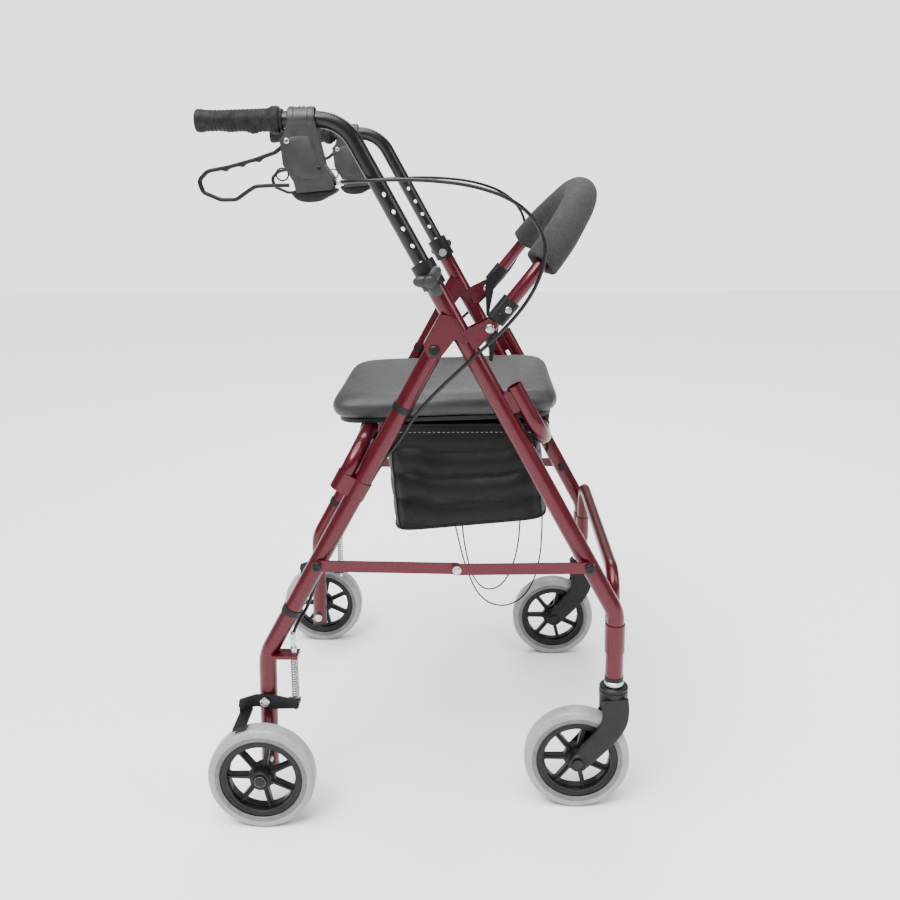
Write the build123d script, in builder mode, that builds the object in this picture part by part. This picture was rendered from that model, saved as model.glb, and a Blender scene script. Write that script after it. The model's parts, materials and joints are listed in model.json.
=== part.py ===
from build123d import *
import math
import os

os.makedirs("parts", exist_ok=True)

# Four-wheeled folding rollator with a padded seat, backrest, loop brakes and a pouch.
# Millimetres. +X is forward, +Y is the user's left, +Z is up.
# The origin is on the floor, midway between the front and rear wheel axles.

# ---- driving dimensions -------------------------------------------------
wheelbase = 450.0
wheel_radius = 76.2
tyre_inner_radius = 61.5
tyre_width = 27.0
hub_length = 29.0
side_y = 232.0            # plane of each side frame and of the casters
rear_wheel_y = 284.0
leg_radius = 12.7
leg_wall = 1.5
handle_radius = 11.1
handle_wall = 1.6
bow_radius = 11.0
front_tilt = 28.3         # front leg and handle tube, from the vertical
hole_pitch = 25.4
first_hole = (-38.0, 886.0)   # top adjustment hole, on the handle tube's axis
stem_x = 277.0
fold_pivot = (26.0, 681.0)
rear_leg_bend = (-221.0, 236.0)
spreader_front_pivot = (237.0, 376.0)
spreader_rear_pivot = (-142.0, 377.0)
spreader_centre = (53.5, 373.5)
backrest_pivot = (100.0, 710.5)
backrest_lean = 39.3      # from the vertical, forwards
backrest_reach = 221.0
front_bow_z = 551.5       # axis heights of the two tubes under the seat
rear_bow_z = 545.0
seat_tilt = 1.6
seat_length = 337.0
seat_width = 320.0
handle_height = 982.0
grip_rear_x = -279.0
lever_pivot = (-160.0, 955.0)
brake_pivot = (-224.0, 171.0)

# ---- derived values ------------------------------------------------------
axle_x = wheelbase / 2
axle_z = wheel_radius
sides = (("right", -1), ("left", 1))
tilt = math.radians(front_tilt)
lean = math.radians(backrest_lean)
tilt_per_height = math.tan(tilt)


def on_leg(height, ahead=0.0):
    """Point on the front leg and handle axis at a height, or a distance ahead of the axis."""
    x = first_hole[0] + (first_hole[1] - height) * tilt_per_height
    return (x + ahead * math.cos(tilt), height + ahead * math.sin(tilt))


def down_leg(distance):
    """Point on the handle axis, a distance below the first adjustment hole."""
    return (first_hole[0] + distance * math.sin(tilt), first_hole[1] - distance * math.cos(tilt))


rear_run = (fold_pivot[0] - rear_leg_bend[0], fold_pivot[1] - rear_leg_bend[1])
rear_run_length = math.hypot(*rear_run)
rear_up = (rear_run[0] / rear_run_length, rear_run[1] / rear_run_length)
rear_ahead = (rear_up[1], -rear_up[0])


def on_rear_leg(height, ahead=0.0):
    """Point on the rear leg's axis at a height, or a distance ahead of the axis."""
    along = (height - fold_pivot[1]) / rear_up[1]
    x = fold_pivot[0] + along * rear_up[0]
    return (x + ahead * rear_ahead[0], height + ahead * rear_ahead[1])


def on_lean(along, ahead=0.0):
    """Point in the backrest's leaning plane, measured from its pivot."""
    x = backrest_pivot[0] + along * math.sin(lean) + ahead * math.cos(lean)
    z = backrest_pivot[1] + along * math.cos(lean) - ahead * math.sin(lean)
    return (x, z)


def at(point, y):
    """Side-view point (x, z) placed at a width y."""
    return (point[0], y, point[1])


# ---- shape helpers --------------------------------------------------------
def tube(points, bends, outer, wall=0.0):
    """Round tube along straight runs joined by tangent arcs; solid where wall is 0."""
    with BuildLine() as path:
        if bends:
            FilletPolyline(*points, radius=bends)
        else:
            Polyline(*points)
    start = Plane(origin=path.line @ 0, z_dir=path.line % 0)
    with BuildPart() as piece:
        with BuildSketch(start):
            Circle(outer)
            if wall:
                Circle(outer - wall, mode=Mode.SUBTRACT)
        sweep(path=path.line)
    return piece.part


def plate(outline, y, thickness, corner=0.0, holes=()):
    """Flat plate lying along the side plane, centred on y; holes are (x, z, radius)."""
    with BuildPart() as piece:
        with BuildSketch(Plane.XZ.offset(-y)) as face:
            with BuildLine():
                Polyline(*outline, close=True)
            make_face()
            if corner:
                fillet(face.vertices(), corner)
            for x, z, radius in holes:
                with Locations((x, z)):
                    Circle(radius, mode=Mode.SUBTRACT)
        extrude(amount=thickness / 2, both=True)
    return piece.part


def cross_pin(point, y_low, y_high, radius):
    """Round pin along Y between two widths."""
    with BuildPart() as piece:
        with BuildSketch(Plane.XZ.offset(-y_low)):
            with Locations(point):
                Circle(radius)
        extrude(amount=y_low - y_high)
    return piece.part


def bolt(point, side, inner, outer, radius, head_radius=6.5, head=3.5):
    """Bolt across a side frame, from width inner to outer, with a head at each end."""
    low, high = sorted((side * inner, side * outer))
    with BuildPart() as piece:
        add(cross_pin(point, low - head, high + head, radius))
        add(cross_pin(point, high, high + head, head_radius))
        add(cross_pin(point, low - head, low, head_radius))
    return piece.part


def keep(piece, name):
    """Label a finished piece and write it."""
    piece.label = name
    export_step(piece, f"parts/{name}.step")


def group(name, pieces):
    """Several separate solids kept as one node."""
    keep(Compound(children=list(pieces)), name)


# ---- front legs, gussets and collars ---------------------------------------
leg_top = 116.0           # distances down the handle axis from the first hole
collar_top = 101.0
collar_foot = 137.0
collar_radius = 16.5
leg_bottom_z = 204.0
knob_point = down_leg(5 * hole_pitch)
leg_bend = on_leg(first_hole[1] - (stem_x - first_hole[0]) / tilt_per_height)
small_bolt = 3.0
hinge_bolt = 4.0
running = 0.06            # radial clearance of a pin in its hole
gusset_gap = 13.0         # from the side plane to a gusset plate's inner face
gusset_thick = 2.5
gusset_outline = [(36, 730), (12, 687), (17, 672), (33, 670), (54, 697), on_leg(680, 2), on_leg(726, 2)]
gusset_web = [(37, 731), (13, 688.5), (11, 689.6), (35, 732.1)]

gussets = []
collars = []
for name, side in sides:
    y = side * side_y
    leg_points = [at(down_leg(leg_top), y), at(leg_bend, y), (stem_x, y, leg_bottom_z)]
    knob_hole = cross_pin(knob_point, y - 20, y + 20, small_bolt + running)
    pivot_hole = cross_pin(spreader_front_pivot, y - 20, y + 20, small_bolt + running)
    with BuildPart() as front_leg:
        add(tube(leg_points, 45.0, leg_radius, leg_wall))
        add(knob_hole, mode=Mode.SUBTRACT)
        add(pivot_hole, mode=Mode.SUBTRACT)
    keep(front_leg.part, f"front_leg_{name}")

    hinge_hole = (*fold_pivot, hinge_bolt + running)
    plate_ys = [y + offset * (gusset_gap + gusset_thick / 2) for offset in (-1, 1)]
    weld = [on_leg(722, -5), on_leg(722, 5), on_leg(690, 5), on_leg(690, -5)]
    leg_core = tube([at(down_leg(140.0), y), at(down_leg(270.0), y)], 0, leg_radius + 0.05)
    with BuildPart() as gusset:
        for plate_y in plate_ys:
            add(plate(gusset_outline, plate_y, gusset_thick, 4.0, [hinge_hole]))
        add(plate(gusset_web, y, 2 * gusset_gap + 1))
        add(plate(weld, y, 2 * gusset_gap + 1))
        add(leg_core, mode=Mode.SUBTRACT)
    gussets.append(gusset.part)

    with BuildPart() as collar:
        collar_line = [at(down_leg(collar_top), y), at(down_leg(collar_foot), y)]
        add(tube(collar_line, 0, collar_radius, collar_radius - handle_radius - 0.35))
        add(tube([at(down_leg(leg_top - 0.1), y), at(down_leg(140), y)], 0, leg_radius + 0.05),
            mode=Mode.SUBTRACT)
        add(knob_hole, mode=Mode.SUBTRACT)
    collars.append(collar.part)
group("gussets", gussets)
group("leg_collars", collars)


# ---- cross tubes and seat bows ----------------------------------------------
def twin_sleeve(base, reach, first_radius, second_radius, length, wall):
    """Sleeve clamped round two parallel tubes, the second one a reach along the plane's X."""
    with BuildPart() as piece:
        with BuildSketch(base):
            Circle(first_radius + wall)
            with Locations((reach, 0)):
                Circle(second_radius + wall)
            with Locations((reach / 2, 0)):
                Rectangle(abs(reach), 2 * second_radius)
        extrude(amount=length)
        with BuildSketch(base):
            Circle(first_radius + 0.05)
            with Locations((reach, 0)):
                Circle(second_radius + 0.05)
        extrude(amount=length, mode=Mode.SUBTRACT)
    return piece.part


cross_top = 347.0
cross_y = 206.0
cross_radius = 9.5
sleeve_low = 242.0
sleeve_length = 42.0
cross_points = [(stem_x, -cross_y, sleeve_low), (stem_x, -cross_y, cross_top),
                (stem_x, cross_y, cross_top), (stem_x, cross_y, sleeve_low)]
welded = [tube(cross_points, 34.0, cross_radius, 1.5)]
for name, side in sides:
    base = Plane(origin=(stem_x, side * side_y, sleeve_low), x_dir=(0, -side, 0), z_dir=(0, 0, 1))
    welded.append(twin_sleeve(base, side_y - cross_y, leg_radius, cross_radius, sleeve_length, 1.6))
group("front_cross_tube", welded)

bow_ahead = 29.0          # from the front leg's axis to the seat bow's arm
front_cross_leg = front_bow_z - bow_ahead * math.sin(tilt)
front_bow_centre = on_leg(front_cross_leg, bow_ahead)
bow_top = on_leg(617, bow_ahead)
front_bow_points = [at(bow_top, -side_y), at(front_bow_centre, -side_y),
                    at(front_bow_centre, side_y), at(bow_top, side_y)]
welded = [tube(front_bow_points, 38.0, bow_radius, 1.5)]
for name, side in sides:
    y = side * side_y
    bracket = [on_leg(614, 10), on_leg(614, bow_ahead - 8), on_leg(588, bow_ahead - 8), on_leg(588, 10)]
    with BuildPart() as bow_bracket:
        add(plate(bracket, y, 15.0))
        add(tube([at(on_leg(640), y), at(on_leg(560), y)], 0, leg_radius + 0.05), mode=Mode.SUBTRACT)
        bow_line = [at(on_leg(640, bow_ahead), y), at(on_leg(560, bow_ahead), y)]
        add(tube(bow_line, 0, bow_radius + 0.05), mode=Mode.SUBTRACT)
    welded.append(bow_bracket.part)
group("front_seat_bow", welded)

rear_arm = -24.7          # seat bow's arm, behind the rear leg's axis
rear_cross_leg = rear_bow_z + rear_arm * -rear_ahead[1]
rear_bow_centre = on_rear_leg(rear_cross_leg, rear_arm)
arm_foot = on_rear_leg(474, rear_arm)
rear_bow_points = [at(arm_foot, -side_y), at(rear_bow_centre, -side_y),
                   at(rear_bow_centre, side_y), at(arm_foot, side_y)]
welded = [tube(rear_bow_points, 38.0, bow_radius, 1.5)]
for name, side in sides:
    base = Plane(origin=at(on_rear_leg(473), side * side_y), x_dir=at(rear_ahead, 0), z_dir=at(rear_up, 0))
    welded.append(twin_sleeve(base, rear_arm, leg_radius, bow_radius, 27.0, 1.4))
group("rear_seat_bow", welded)


# ---- rear legs, axles, brakes ------------------------------------------------
axle_radius = 4.0
leg_foot = (-225.0, 60.0)
spring_x = -182.0
spring_y = 238.0
tab_top = 240.0
adjuster_top = 262.0
lug_top = 166.0
hub_inner_y = rear_wheel_y - hub_length / 2
hub_outer_y = rear_wheel_y + hub_length / 2
rear_top = (fold_pivot[0] + 6 * rear_up[0], fold_pivot[1] + 6 * rear_up[1])
arm_outline = [(-264, 159), (-262, 172), (-238, 180), (-214, 180), (-176, 171), (-176, 159), (-212, 158),
               (-236, 162)]

axles = []
rear_bolts = []
adjusters = []
clips = []
for name, side in sides:
    y = side * side_y
    leg_points = [at(rear_top, y), at(rear_leg_bend, y), at(leg_foot, y)]
    holes = ((fold_pivot, hinge_bolt), (spreader_rear_pivot, small_bolt), (brake_pivot, small_bolt),
             ((-axle_x, axle_z), axle_radius))
    with BuildPart() as rear_leg:
        add(tube(leg_points, 60.0, leg_radius, leg_wall))
        for point, radius in holes:
            add(cross_pin(point, y - 20, y + 20, radius + running), mode=Mode.SUBTRACT)
    with BuildPart() as cable_stop:
        with BuildSketch(Plane.XY.offset(tab_top - 5)):
            with Locations((spring_x - 11, side * 237.0)):
                Rectangle(36, 24)
            with Locations((spring_x, side * spring_y)):
                Circle(3.05, mode=Mode.SUBTRACT)
        extrude(amount=5)
        core = [at(on_rear_leg(300), y), at(rear_leg_bend, y), at(leg_foot, y)]
        add(tube(core, 60.0, leg_radius + 0.05), mode=Mode.SUBTRACT)
    group(f"rear_leg_{name}", [rear_leg.part, cable_stop.part])

    with BuildPart() as axle:
        low, high = sorted((side * 216.0, side * (hub_outer_y + 0.3)))
        add(cross_pin((-axle_x, axle_z), low, high, axle_radius))
        low, high = sorted((side * 212.0, side * 219.0))
        add(cross_pin((-axle_x, axle_z), low, high, 7.0))
        low, high = sorted((side * 245.0, side * (hub_inner_y - 0.3)))
        add(cross_pin((-axle_x, axle_z), low, high, 7.5))
        low, high = sorted((side * (hub_outer_y + 0.3), side * (hub_outer_y + 4.0)))
        add(cross_pin((-axle_x, axle_z), low, high, 8.0))
    axles.append(axle.part)

    rear_bolts.append(bolt(spreader_rear_pivot, side, 219.3, 249.6, small_bolt))
    rear_bolts.append(bolt(brake_pivot, side, 219.3, 249.4, small_bolt))

    with BuildPart(Plane.XY.offset(tab_top - 8)) as adjuster:
        with Locations((spring_x, side * spring_y)):
            Cylinder(3.0, adjuster_top - tab_top + 8, align=(Align.CENTER, Align.CENTER, Align.MIN))
            with Locations((0, 0, 8.2)):
                Cylinder(4.6, 9, align=(Align.CENTER, Align.CENTER, Align.MIN))
            Hole(1.3)
    adjusters.append(adjuster.part)

    for height in (600.0, 305.0):
        base = Plane(origin=at(on_rear_leg(height - 5), y), x_dir=at(rear_ahead, 0), z_dir=at(rear_up, 0))
        with BuildPart() as clip:
            with BuildSketch(base):
                Circle(leg_radius + 1.4)
                Circle(leg_radius + 0.05, mode=Mode.SUBTRACT)
            extrude(amount=9)
        clips.append(clip.part)

    with BuildPart() as brake_arm:
        arm_y = side * 247.6
        add(plate(arm_outline, arm_y, 3.0, 3.0, [(*brake_pivot, small_bolt + running)]))
        add(plate([(-194, 161), (-194, lug_top), (-176, lug_top), (-176, 161)], side * 239.0, 20.0))
        add(plate([(-262, 149), (-262, 153), (-243, 159), (-243, 155)], side * 271.5, 47.0))
        add(plate([(-262, 149), (-262, 166), (-243, 172), (-243, 155)], side * 248.1, 4.0))
        with Locations((spring_x, side * spring_y, lug_top)):
            Cylinder(1.6, 30, mode=Mode.SUBTRACT)
    keep(brake_arm.part, f"brake_arm_{name}")

    with BuildPart(Plane.XY.offset(lug_top + 0.3)) as return_spring:
        with Locations((spring_x, side * spring_y)):
            Cylinder(5.5, tab_top - 5.6 - lug_top, align=(Align.CENTER, Align.CENTER, Align.MIN))
            Hole(4.2)
    keep(return_spring.part, f"return_spring_{name}")
group("rear_axles", axles)
group("rear_frame_bolts", rear_bolts)
group("cable_adjusters", adjusters)
group("cable_clips", clips)


# ---- side spreaders ------------------------------------------------------------
rear_bar_y = 247.8
front_bar_y = 251.4
bar_thick = 3.0
bar_height = 16.0


def spreader_bar(start, end, y):
    """Flat bar with round ends and a pivot hole at each end."""
    middle = ((start[0] + end[0]) / 2, (start[1] + end[1]) / 2)
    length = math.hypot(end[0] - start[0], end[1] - start[1])
    slope = math.degrees(math.atan2(end[1] - start[1], end[0] - start[0]))
    with BuildPart() as piece:
        with BuildSketch(Plane.XZ.offset(-y)):
            with Locations(middle):
                SlotCenterToCenter(length, bar_height, rotation=slope)
            with Locations(start, end):
                Circle(small_bolt + running, mode=Mode.SUBTRACT)
        extrude(amount=bar_thick / 2, both=True)
    return piece.part


rivets = []
for name, side in sides:
    keep(spreader_bar(spreader_rear_pivot, spreader_centre, side * rear_bar_y), f"rear_spreader_{name}")
    keep(spreader_bar(spreader_centre, spreader_front_pivot, side * front_bar_y), f"front_spreader_{name}")
    low, high = sorted((side * (front_bar_y - 1.5), side * (front_bar_y + 4.0)))
    with BuildPart() as rivet:
        add(cross_pin(spreader_centre, low, high, small_bolt))
        low, high = sorted((side * (front_bar_y + 1.5), side * (front_bar_y + 4.0)))
        add(cross_pin(spreader_centre, low, high, 6.0))
    rivets.append(rivet.part)
group("spreader_rivets", rivets)


# ---- bolts held by the front frame ------------------------------------------------
frame_bolts = []
for name, side in sides:
    frame_bolts.append(bolt(fold_pivot, side, 216.5, 247.5, hinge_bolt, 7.0, 4.0))
    frame_bolts.append(bolt(spreader_front_pivot, side, 219.3, 253.2, small_bolt))
    frame_bolts.append(bolt(backrest_pivot, side, 219.3, 244.7, small_bolt, 5.5, 3.0))
    with BuildPart() as carriage_bolt:
        low, high = sorted((side * 211.0, side * 262.0))
        add(cross_pin(knob_point, low, high, small_bolt))
        low, high = sorted((side * 211.0, side * 215.3))
        add(cross_pin(knob_point, low, high, 7.0))
    frame_bolts.append(carriage_bolt.part)
group("frame_bolts", frame_bolts)

# ---- backrest ----------------------------------------------------------------------
back_radius = 9.5
pad_radius = 23.5
lean_points = [(2, 1), (135, 1), (backrest_reach, 77 / side_y)]
back_points = [at(on_lean(along), -side_y * across) for along, across in lean_points]
back_points += [at(on_lean(along), side_y * across) for along, across in reversed(lean_points)]
back_bends = [105.0, 280.0, 280.0, 105.0]
bow_shape = tube(back_points, back_bends, back_radius, 1.4)
pivot_holes = [cross_pin(backrest_pivot, side * side_y - 20, side * side_y + 20, small_bolt + running)
               for name, side in sides]
with BuildPart() as backrest_bow:
    add(bow_shape)
    for pivot_hole in pivot_holes:
        add(pivot_hole, mode=Mode.SUBTRACT)
keep(backrest_bow.part, "backrest_bow")

pad_shape = tube(back_points, back_bends, pad_radius, pad_radius - back_radius - 0.2)
with BuildPart() as backrest_pad:
    add(pad_shape)
    lean_up = (math.sin(lean), 0, math.cos(lean))
    lean_plane = Plane(origin=at(backrest_pivot, 0), x_dir=(0, 1, 0), z_dir=lean_up)
    with BuildSketch(lean_plane.offset(-60)):
        Rectangle(600, 120)
    extrude(amount=60 + 104, mode=Mode.SUBTRACT)
keep(backrest_pad.part, "backrest_pad")

release_pivot = on_lean(21)
small_pin = 2.5
brackets = []
back_sleeves = []
for name, side in sides:
    y = side * side_y
    outline = [on_leg(704, 5), on_leg(680, 5), (84, 683), on_lean(-9, 6), on_lean(9, 6), on_lean(9, -9)]
    with BuildPart() as bracket:
        for offset in (-11.5, 11.5):
            add(plate(outline, y + offset, 2.4, 0, [(*backrest_pivot, small_bolt + running)]))
        add(tube([at(on_leg(740), y), at(on_leg(650), y)], 0, leg_radius + 0.05), mode=Mode.SUBTRACT)
        weld = [on_leg(703, 11), on_leg(682, 11), on_leg(682, 15), on_leg(703, 15)]
        add(plate(weld, y, 23.0))
        add(tube([at(on_leg(740), y), at(on_leg(650), y)], 0, leg_radius + 0.05), mode=Mode.SUBTRACT)
    brackets.append(bracket.part)

    base = Plane(origin=at(on_lean(12), y), x_dir=(0, 1, 0), z_dir=(math.sin(lean), 0, math.cos(lean)))
    with BuildPart() as back_sleeve:
        with BuildSketch(base):
            RectangleRounded(27, 25, 7)
            Circle(back_radius + 0.1, mode=Mode.SUBTRACT)
        extrude(amount=34)
        low, high = sorted((side * 206.6, side * 220.0))
        add(cross_pin(release_pivot, low, high, small_pin))
        low, high = sorted((side * 206.6, side * 209.2))
        add(cross_pin(release_pivot, low, high, 4.0))
    back_sleeves.append(back_sleeve.part)

    tail = [on_lean(14, 7), on_lean(30, 4), on_lean(30, -10), on_lean(8, -10), (99, 662), (103, 659)]
    with BuildPart() as release_lever:
        add(plate(tail, side * 212.0, 5.0, 1.5, [(*release_pivot, small_pin + running)]))
    keep(release_lever.part, f"release_lever_{name}")
group("backrest_brackets", brackets)
group("backrest_sleeves", back_sleeves)


# ---- seat ---------------------------------------------------------------------------
seat_x = 34.5
seat_turn = math.radians(seat_tilt)
board_bottom = 560.0      # at the seat's middle
board_thick = 6.0
pad_thick = 30.0
seat_dir = (math.cos(seat_turn), 0, math.sin(seat_turn))
seat_up = (-math.sin(seat_turn), 0, math.cos(seat_turn))
board_plane = Plane(origin=(seat_x, 0, board_bottom), x_dir=seat_dir, z_dir=seat_up)
pad_plane = board_plane.offset(board_thick)
tube_clearance = 0.08

with BuildPart() as seat_board:
    with BuildSketch(board_plane):
        RectangleRounded(seat_length - 24, seat_width - 24, 36)
    extrude(amount=board_thick)
keep(seat_board.part, "seat_board")

with BuildPart() as seat_pad:
    with BuildSketch(pad_plane):
        RectangleRounded(seat_length, seat_width, 46)
    extrude(amount=pad_thick)
    fillet(seat_pad.edges().group_by(Axis.Z)[-1], 9.0)
keep(seat_pad.part, "seat_pad")


def seat_clip(centre, y, outer, low_cut):
    """Plastic block under the board, bored for the tube it sits on."""
    along = centre[0] - seat_x
    under = board_bottom + along * math.tan(seat_turn)
    drop = math.tan(seat_turn) * 15
    block = [(centre[0] - 15, under - drop), (centre[0] + 15, under + drop),
             (centre[0] + outer, centre[1] + low_cut), (centre[0] - outer, centre[1] + low_cut)]
    with BuildPart() as piece:
        add(plate(block, y, 24.0))
        if low_cut < 0:
            add(cross_pin(centre, y - 12, y + 12, outer))
            above = [(block[0][0] - 9, under - drop * 1.6), (block[1][0] + 9, under + drop * 1.6),
                     (block[1][0] + 9, under + 20), (block[0][0] - 9, under + 20)]
            add(plate(above, y, 26.0), mode=Mode.SUBTRACT)
        add(cross_pin(centre, y - 13, y + 13, bow_radius + tube_clearance), mode=Mode.SUBTRACT)
    return piece.part


hinge_clips = [seat_clip(front_bow_centre, y, 14.5, -0.5) for y in (-95.0, 95.0)]
rest_clips = [seat_clip(rear_bow_centre, y, 9.0, 7.5) for y in (-110.0, 110.0)]
group("seat_clips", hinge_clips + rest_clips)

# ---- pouch under the seat -----------------------------------------------------------
bag_half_width = 148.0
bag_wall = 3.0
bag_outline = [(-37, 393), (186, 413), (183, 534), (13, 534), (7, 498), (-46, 498)]
bag_hollow = [(-34, 396.5), (182.5, 416), (179.6, 540), (-46, 540), (-42.8, 497)]
with BuildPart() as bag:
    add(plate(bag_outline, 0, 2 * bag_half_width, 3.0))
    add(plate(bag_hollow, 0, 2 * (bag_half_width - bag_wall)), mode=Mode.SUBTRACT)
keep(bag.part, "bag")


# ---- cords and cables ----------------------------------------------------------------
def soft_bends(points, share=0.45):
    """Arc radius at each corner of a route, as large as its two runs allow."""
    bends = []
    for before, here, after in zip(points, points[1:], points[2:]):
        run_in = Vector(*here) - Vector(*before)
        run_out = Vector(*after) - Vector(*here)
        turn = math.radians(run_in.get_angle(run_out))
        bends.append(share * min(run_in.length, run_out.length) / math.tan(turn / 2))
    return bends


def cord(points, radius, name):
    """Cord along its route, with its bends and the volume of its tube printed."""
    bends = soft_bends(points)
    with BuildLine() as path:
        FilletPolyline(*points, radius=bends)
    piece = tube(points, bends, radius)
    length = sum(edge.length for edge in path.edges())
    expected = math.pi * radius ** 2 * length
    print(name, "length", round(length), "tightest", round(min(bends), 1),
          "volume ratio", round(piece.volume / expected, 4))
    return piece


drawcord_radius = 1.1
cord_y = -100.0
outer_loop = [(45, 397), (52, 362), (60, 326), (70, 296), (81, 271), (99, 253), (125, 248), (151, 261),
              (168, 288), (177, 322), (181, 360), (181, 398)]
inner_loop = [(57, 398), (60, 360), (66, 325), (75, 292), (94, 272), (117, 278), (133, 302), (142, 333),
              (147, 366), (148, 404)]
loop_ends = {"drawcord_outer": outer_loop, "drawcord_inner": inner_loop}
for name, loop in loop_ends.items():
    lean_in = 6.0 if name == "drawcord_inner" else 0.0
    route = [(x, cord_y + lean_in, z) for x, z in loop]
    keep(cord(route, drawcord_radius, name), name)

cable_radius = 2.5
wire_radius = 0.8
cable_start = (-98.4, 902.7)
for name, side in sides:
    route = [at(cable_start, side_y), (-86, 234, 903), (-69, 244.5, 903.8), (-46, 251, 904.6),
             (-12, 253, 905.2), (28, 254.5, 903.5), (80, 257, 896.8), (132, 261, 878.3),
             (165, 263, 845.4), (173, 264, 804.7), (155, 261, 756.6), (121, 257, 712.8),
             (74, 252.5, 669.6), (21, 246, 618.9),
             at(on_rear_leg(598, 19.5), 241), at(on_rear_leg(562, 18.5), 228),
             at(on_rear_leg(525, 11.5), 218), at(on_rear_leg(440, 11), 217),
             at(on_rear_leg(350, 11.5), 217.6), at(on_rear_leg(312, 18.5), 223.5),
             (-171.5, 230, 291), (spring_x + 1.2, 237.2, 275), (spring_x, spring_y, adjuster_top + 0.4)]
    route = [(x, side * y, z) for x, y, z in route]
    with BuildPart() as inner_wire:
        with Locations((spring_x, side * spring_y, 156)):
            Cylinder(wire_radius, adjuster_top + 1.4 - 156, align=(Align.CENTER, Align.CENTER, Align.MIN))
    group(f"brake_cable_{name}", [cord(route, cable_radius, f"brake_cable_{name}"), inner_wire.part])

# ---- handles ----------------------------------------------------------------------------
handle_bend_radius = 55.0
handle_foot = down_leg(193.0)
handle_corner = on_leg(handle_height)
grip_radius = 14.0
grip_front_x = -166.0
clamp_rear_x = -158.0
clamp_front_x = -124.0
housing_half_width = 15.0
slot_half_width = 4.6
lever_thick = 8.0
housing_outline = [(-158, 982), (-123, 982), (-119, 951), (-113, 925), (-102, 909), (-103, 893), (-150, 889),
                   (-153, 903), (-166, 925), (-169, 957), (-163.5, 963)]
slot_outline = [(-176, 965), (-150, 965), (-150, 925), (-139, 912), (-139, 880), (-176, 880)]
lever_loop = [(-160, 955), (-178, 941), (-205, 932), (-240, 923), (-268, 918), (-280, 906), (-275, 891),
              (-252, 881), (-232, 881), (-216, 892), (-206, 898), (-186, 899), (-162, 899)]
lever_bends = [8, 20, 20, 14, 9, 9, 14, 12, 12, 12, 12]

for name, side in sides:
    y = side * side_y
    handle_points = [at(handle_foot, y), at(handle_corner, y), (grip_rear_x + 6.5, y, handle_height)]
    with BuildPart() as handle_tube:
        add(tube(handle_points, handle_bend_radius, handle_radius, handle_wall))
        for step in range(8):
            hole = cross_pin(down_leg(step * hole_pitch), y - 20, y + 20, 3.4)
            add(hole, mode=Mode.SUBTRACT)
    keep(handle_tube.part, f"handle_tube_{name}")

    along_grip = Plane(origin=(grip_rear_x, y, handle_height), x_dir=(0, 1, 0), z_dir=(1, 0, 0))
    with BuildPart() as grip:
        with BuildSketch(along_grip):
            Circle(grip_radius)
        extrude(amount=grip_front_x - grip_rear_x)
        fillet(grip.edges().sort_by(Axis.X)[0], 3.0)
        with BuildSketch(along_grip.offset(grip_front_x - grip_rear_x - 6)):
            Circle(17.5)
        extrude(amount=6)
        with Locations((-203, y, handle_height - 11.5)):
            Sphere(7.5)
        with BuildSketch(along_grip.offset(6)):
            Circle(handle_radius + 0.05)
        extrude(amount=200, mode=Mode.SUBTRACT)
    keep(grip.part, f"grip_{name}")

    along_clamp = Plane(origin=(clamp_rear_x, y, handle_height), x_dir=(0, 1, 0), z_dir=(1, 0, 0))
    lever_pin = cross_pin(lever_pivot, y - housing_half_width, y + housing_half_width, small_pin)
    with BuildPart() as brake_housing:
        add(plate(housing_outline, y, 2 * housing_half_width, 3.0))
        with BuildSketch(along_clamp):
            Circle(16.0)
        extrude(amount=clamp_front_x - clamp_rear_x)
        with BuildSketch(along_clamp.offset(-30)):
            Circle(handle_radius + 0.05)
        extrude(amount=90, mode=Mode.SUBTRACT)
        add(plate(slot_outline, y, 2 * slot_half_width), mode=Mode.SUBTRACT)
        cable_port = Plane(origin=(-106, y, cable_start[1]), x_dir=(0, 1, 0), z_dir=(1, 0, 0))
        with BuildSketch(cable_port):
            Circle(4.2)
        extrude(amount=7)
        add(lever_pin, mode=Mode.SUBTRACT)
    group(f"brake_housing_{name}", [brake_housing.part, lever_pin])

    with BuildPart() as brake_lever:
        with BuildSketch(Plane.XZ.offset(-y)):
            with BuildLine() as loop:
                FilletPolyline(*lever_loop, radius=lever_bends)
                Line(lever_loop[-1], lever_loop[0])
            trace(line_width=7.5)
            with Locations(lever_pivot):
                Circle(7.5)
                Circle(small_pin + running, mode=Mode.SUBTRACT)
        extrude(amount=lever_thick / 2, both=True)
    keep(brake_lever.part, f"brake_lever_{name}")

    knob_face = side * (side_y + 17.0)
    with BuildPart() as knob:
        with BuildSketch(Plane.XZ.offset(-knob_face)):
            with Locations(knob_point):
                Circle(11.0)
                with PolarLocations(15.0, 3, start_angle=75):
                    SlotCenterToCenter(14, 12)
        extrude(amount=-side * 12.0)
        bore = cross_pin(knob_point, *sorted((knob_face - side, side * 262.3)), small_bolt + running)
        with BuildSketch(Plane.XZ.offset(-knob_face - side * 12.0)):
            with Locations(knob_point):
                Circle(10.0)
        extrude(amount=-side * 5.0)
        add(bore, mode=Mode.SUBTRACT)
    keep(knob.part, f"knob_{name}")


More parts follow.
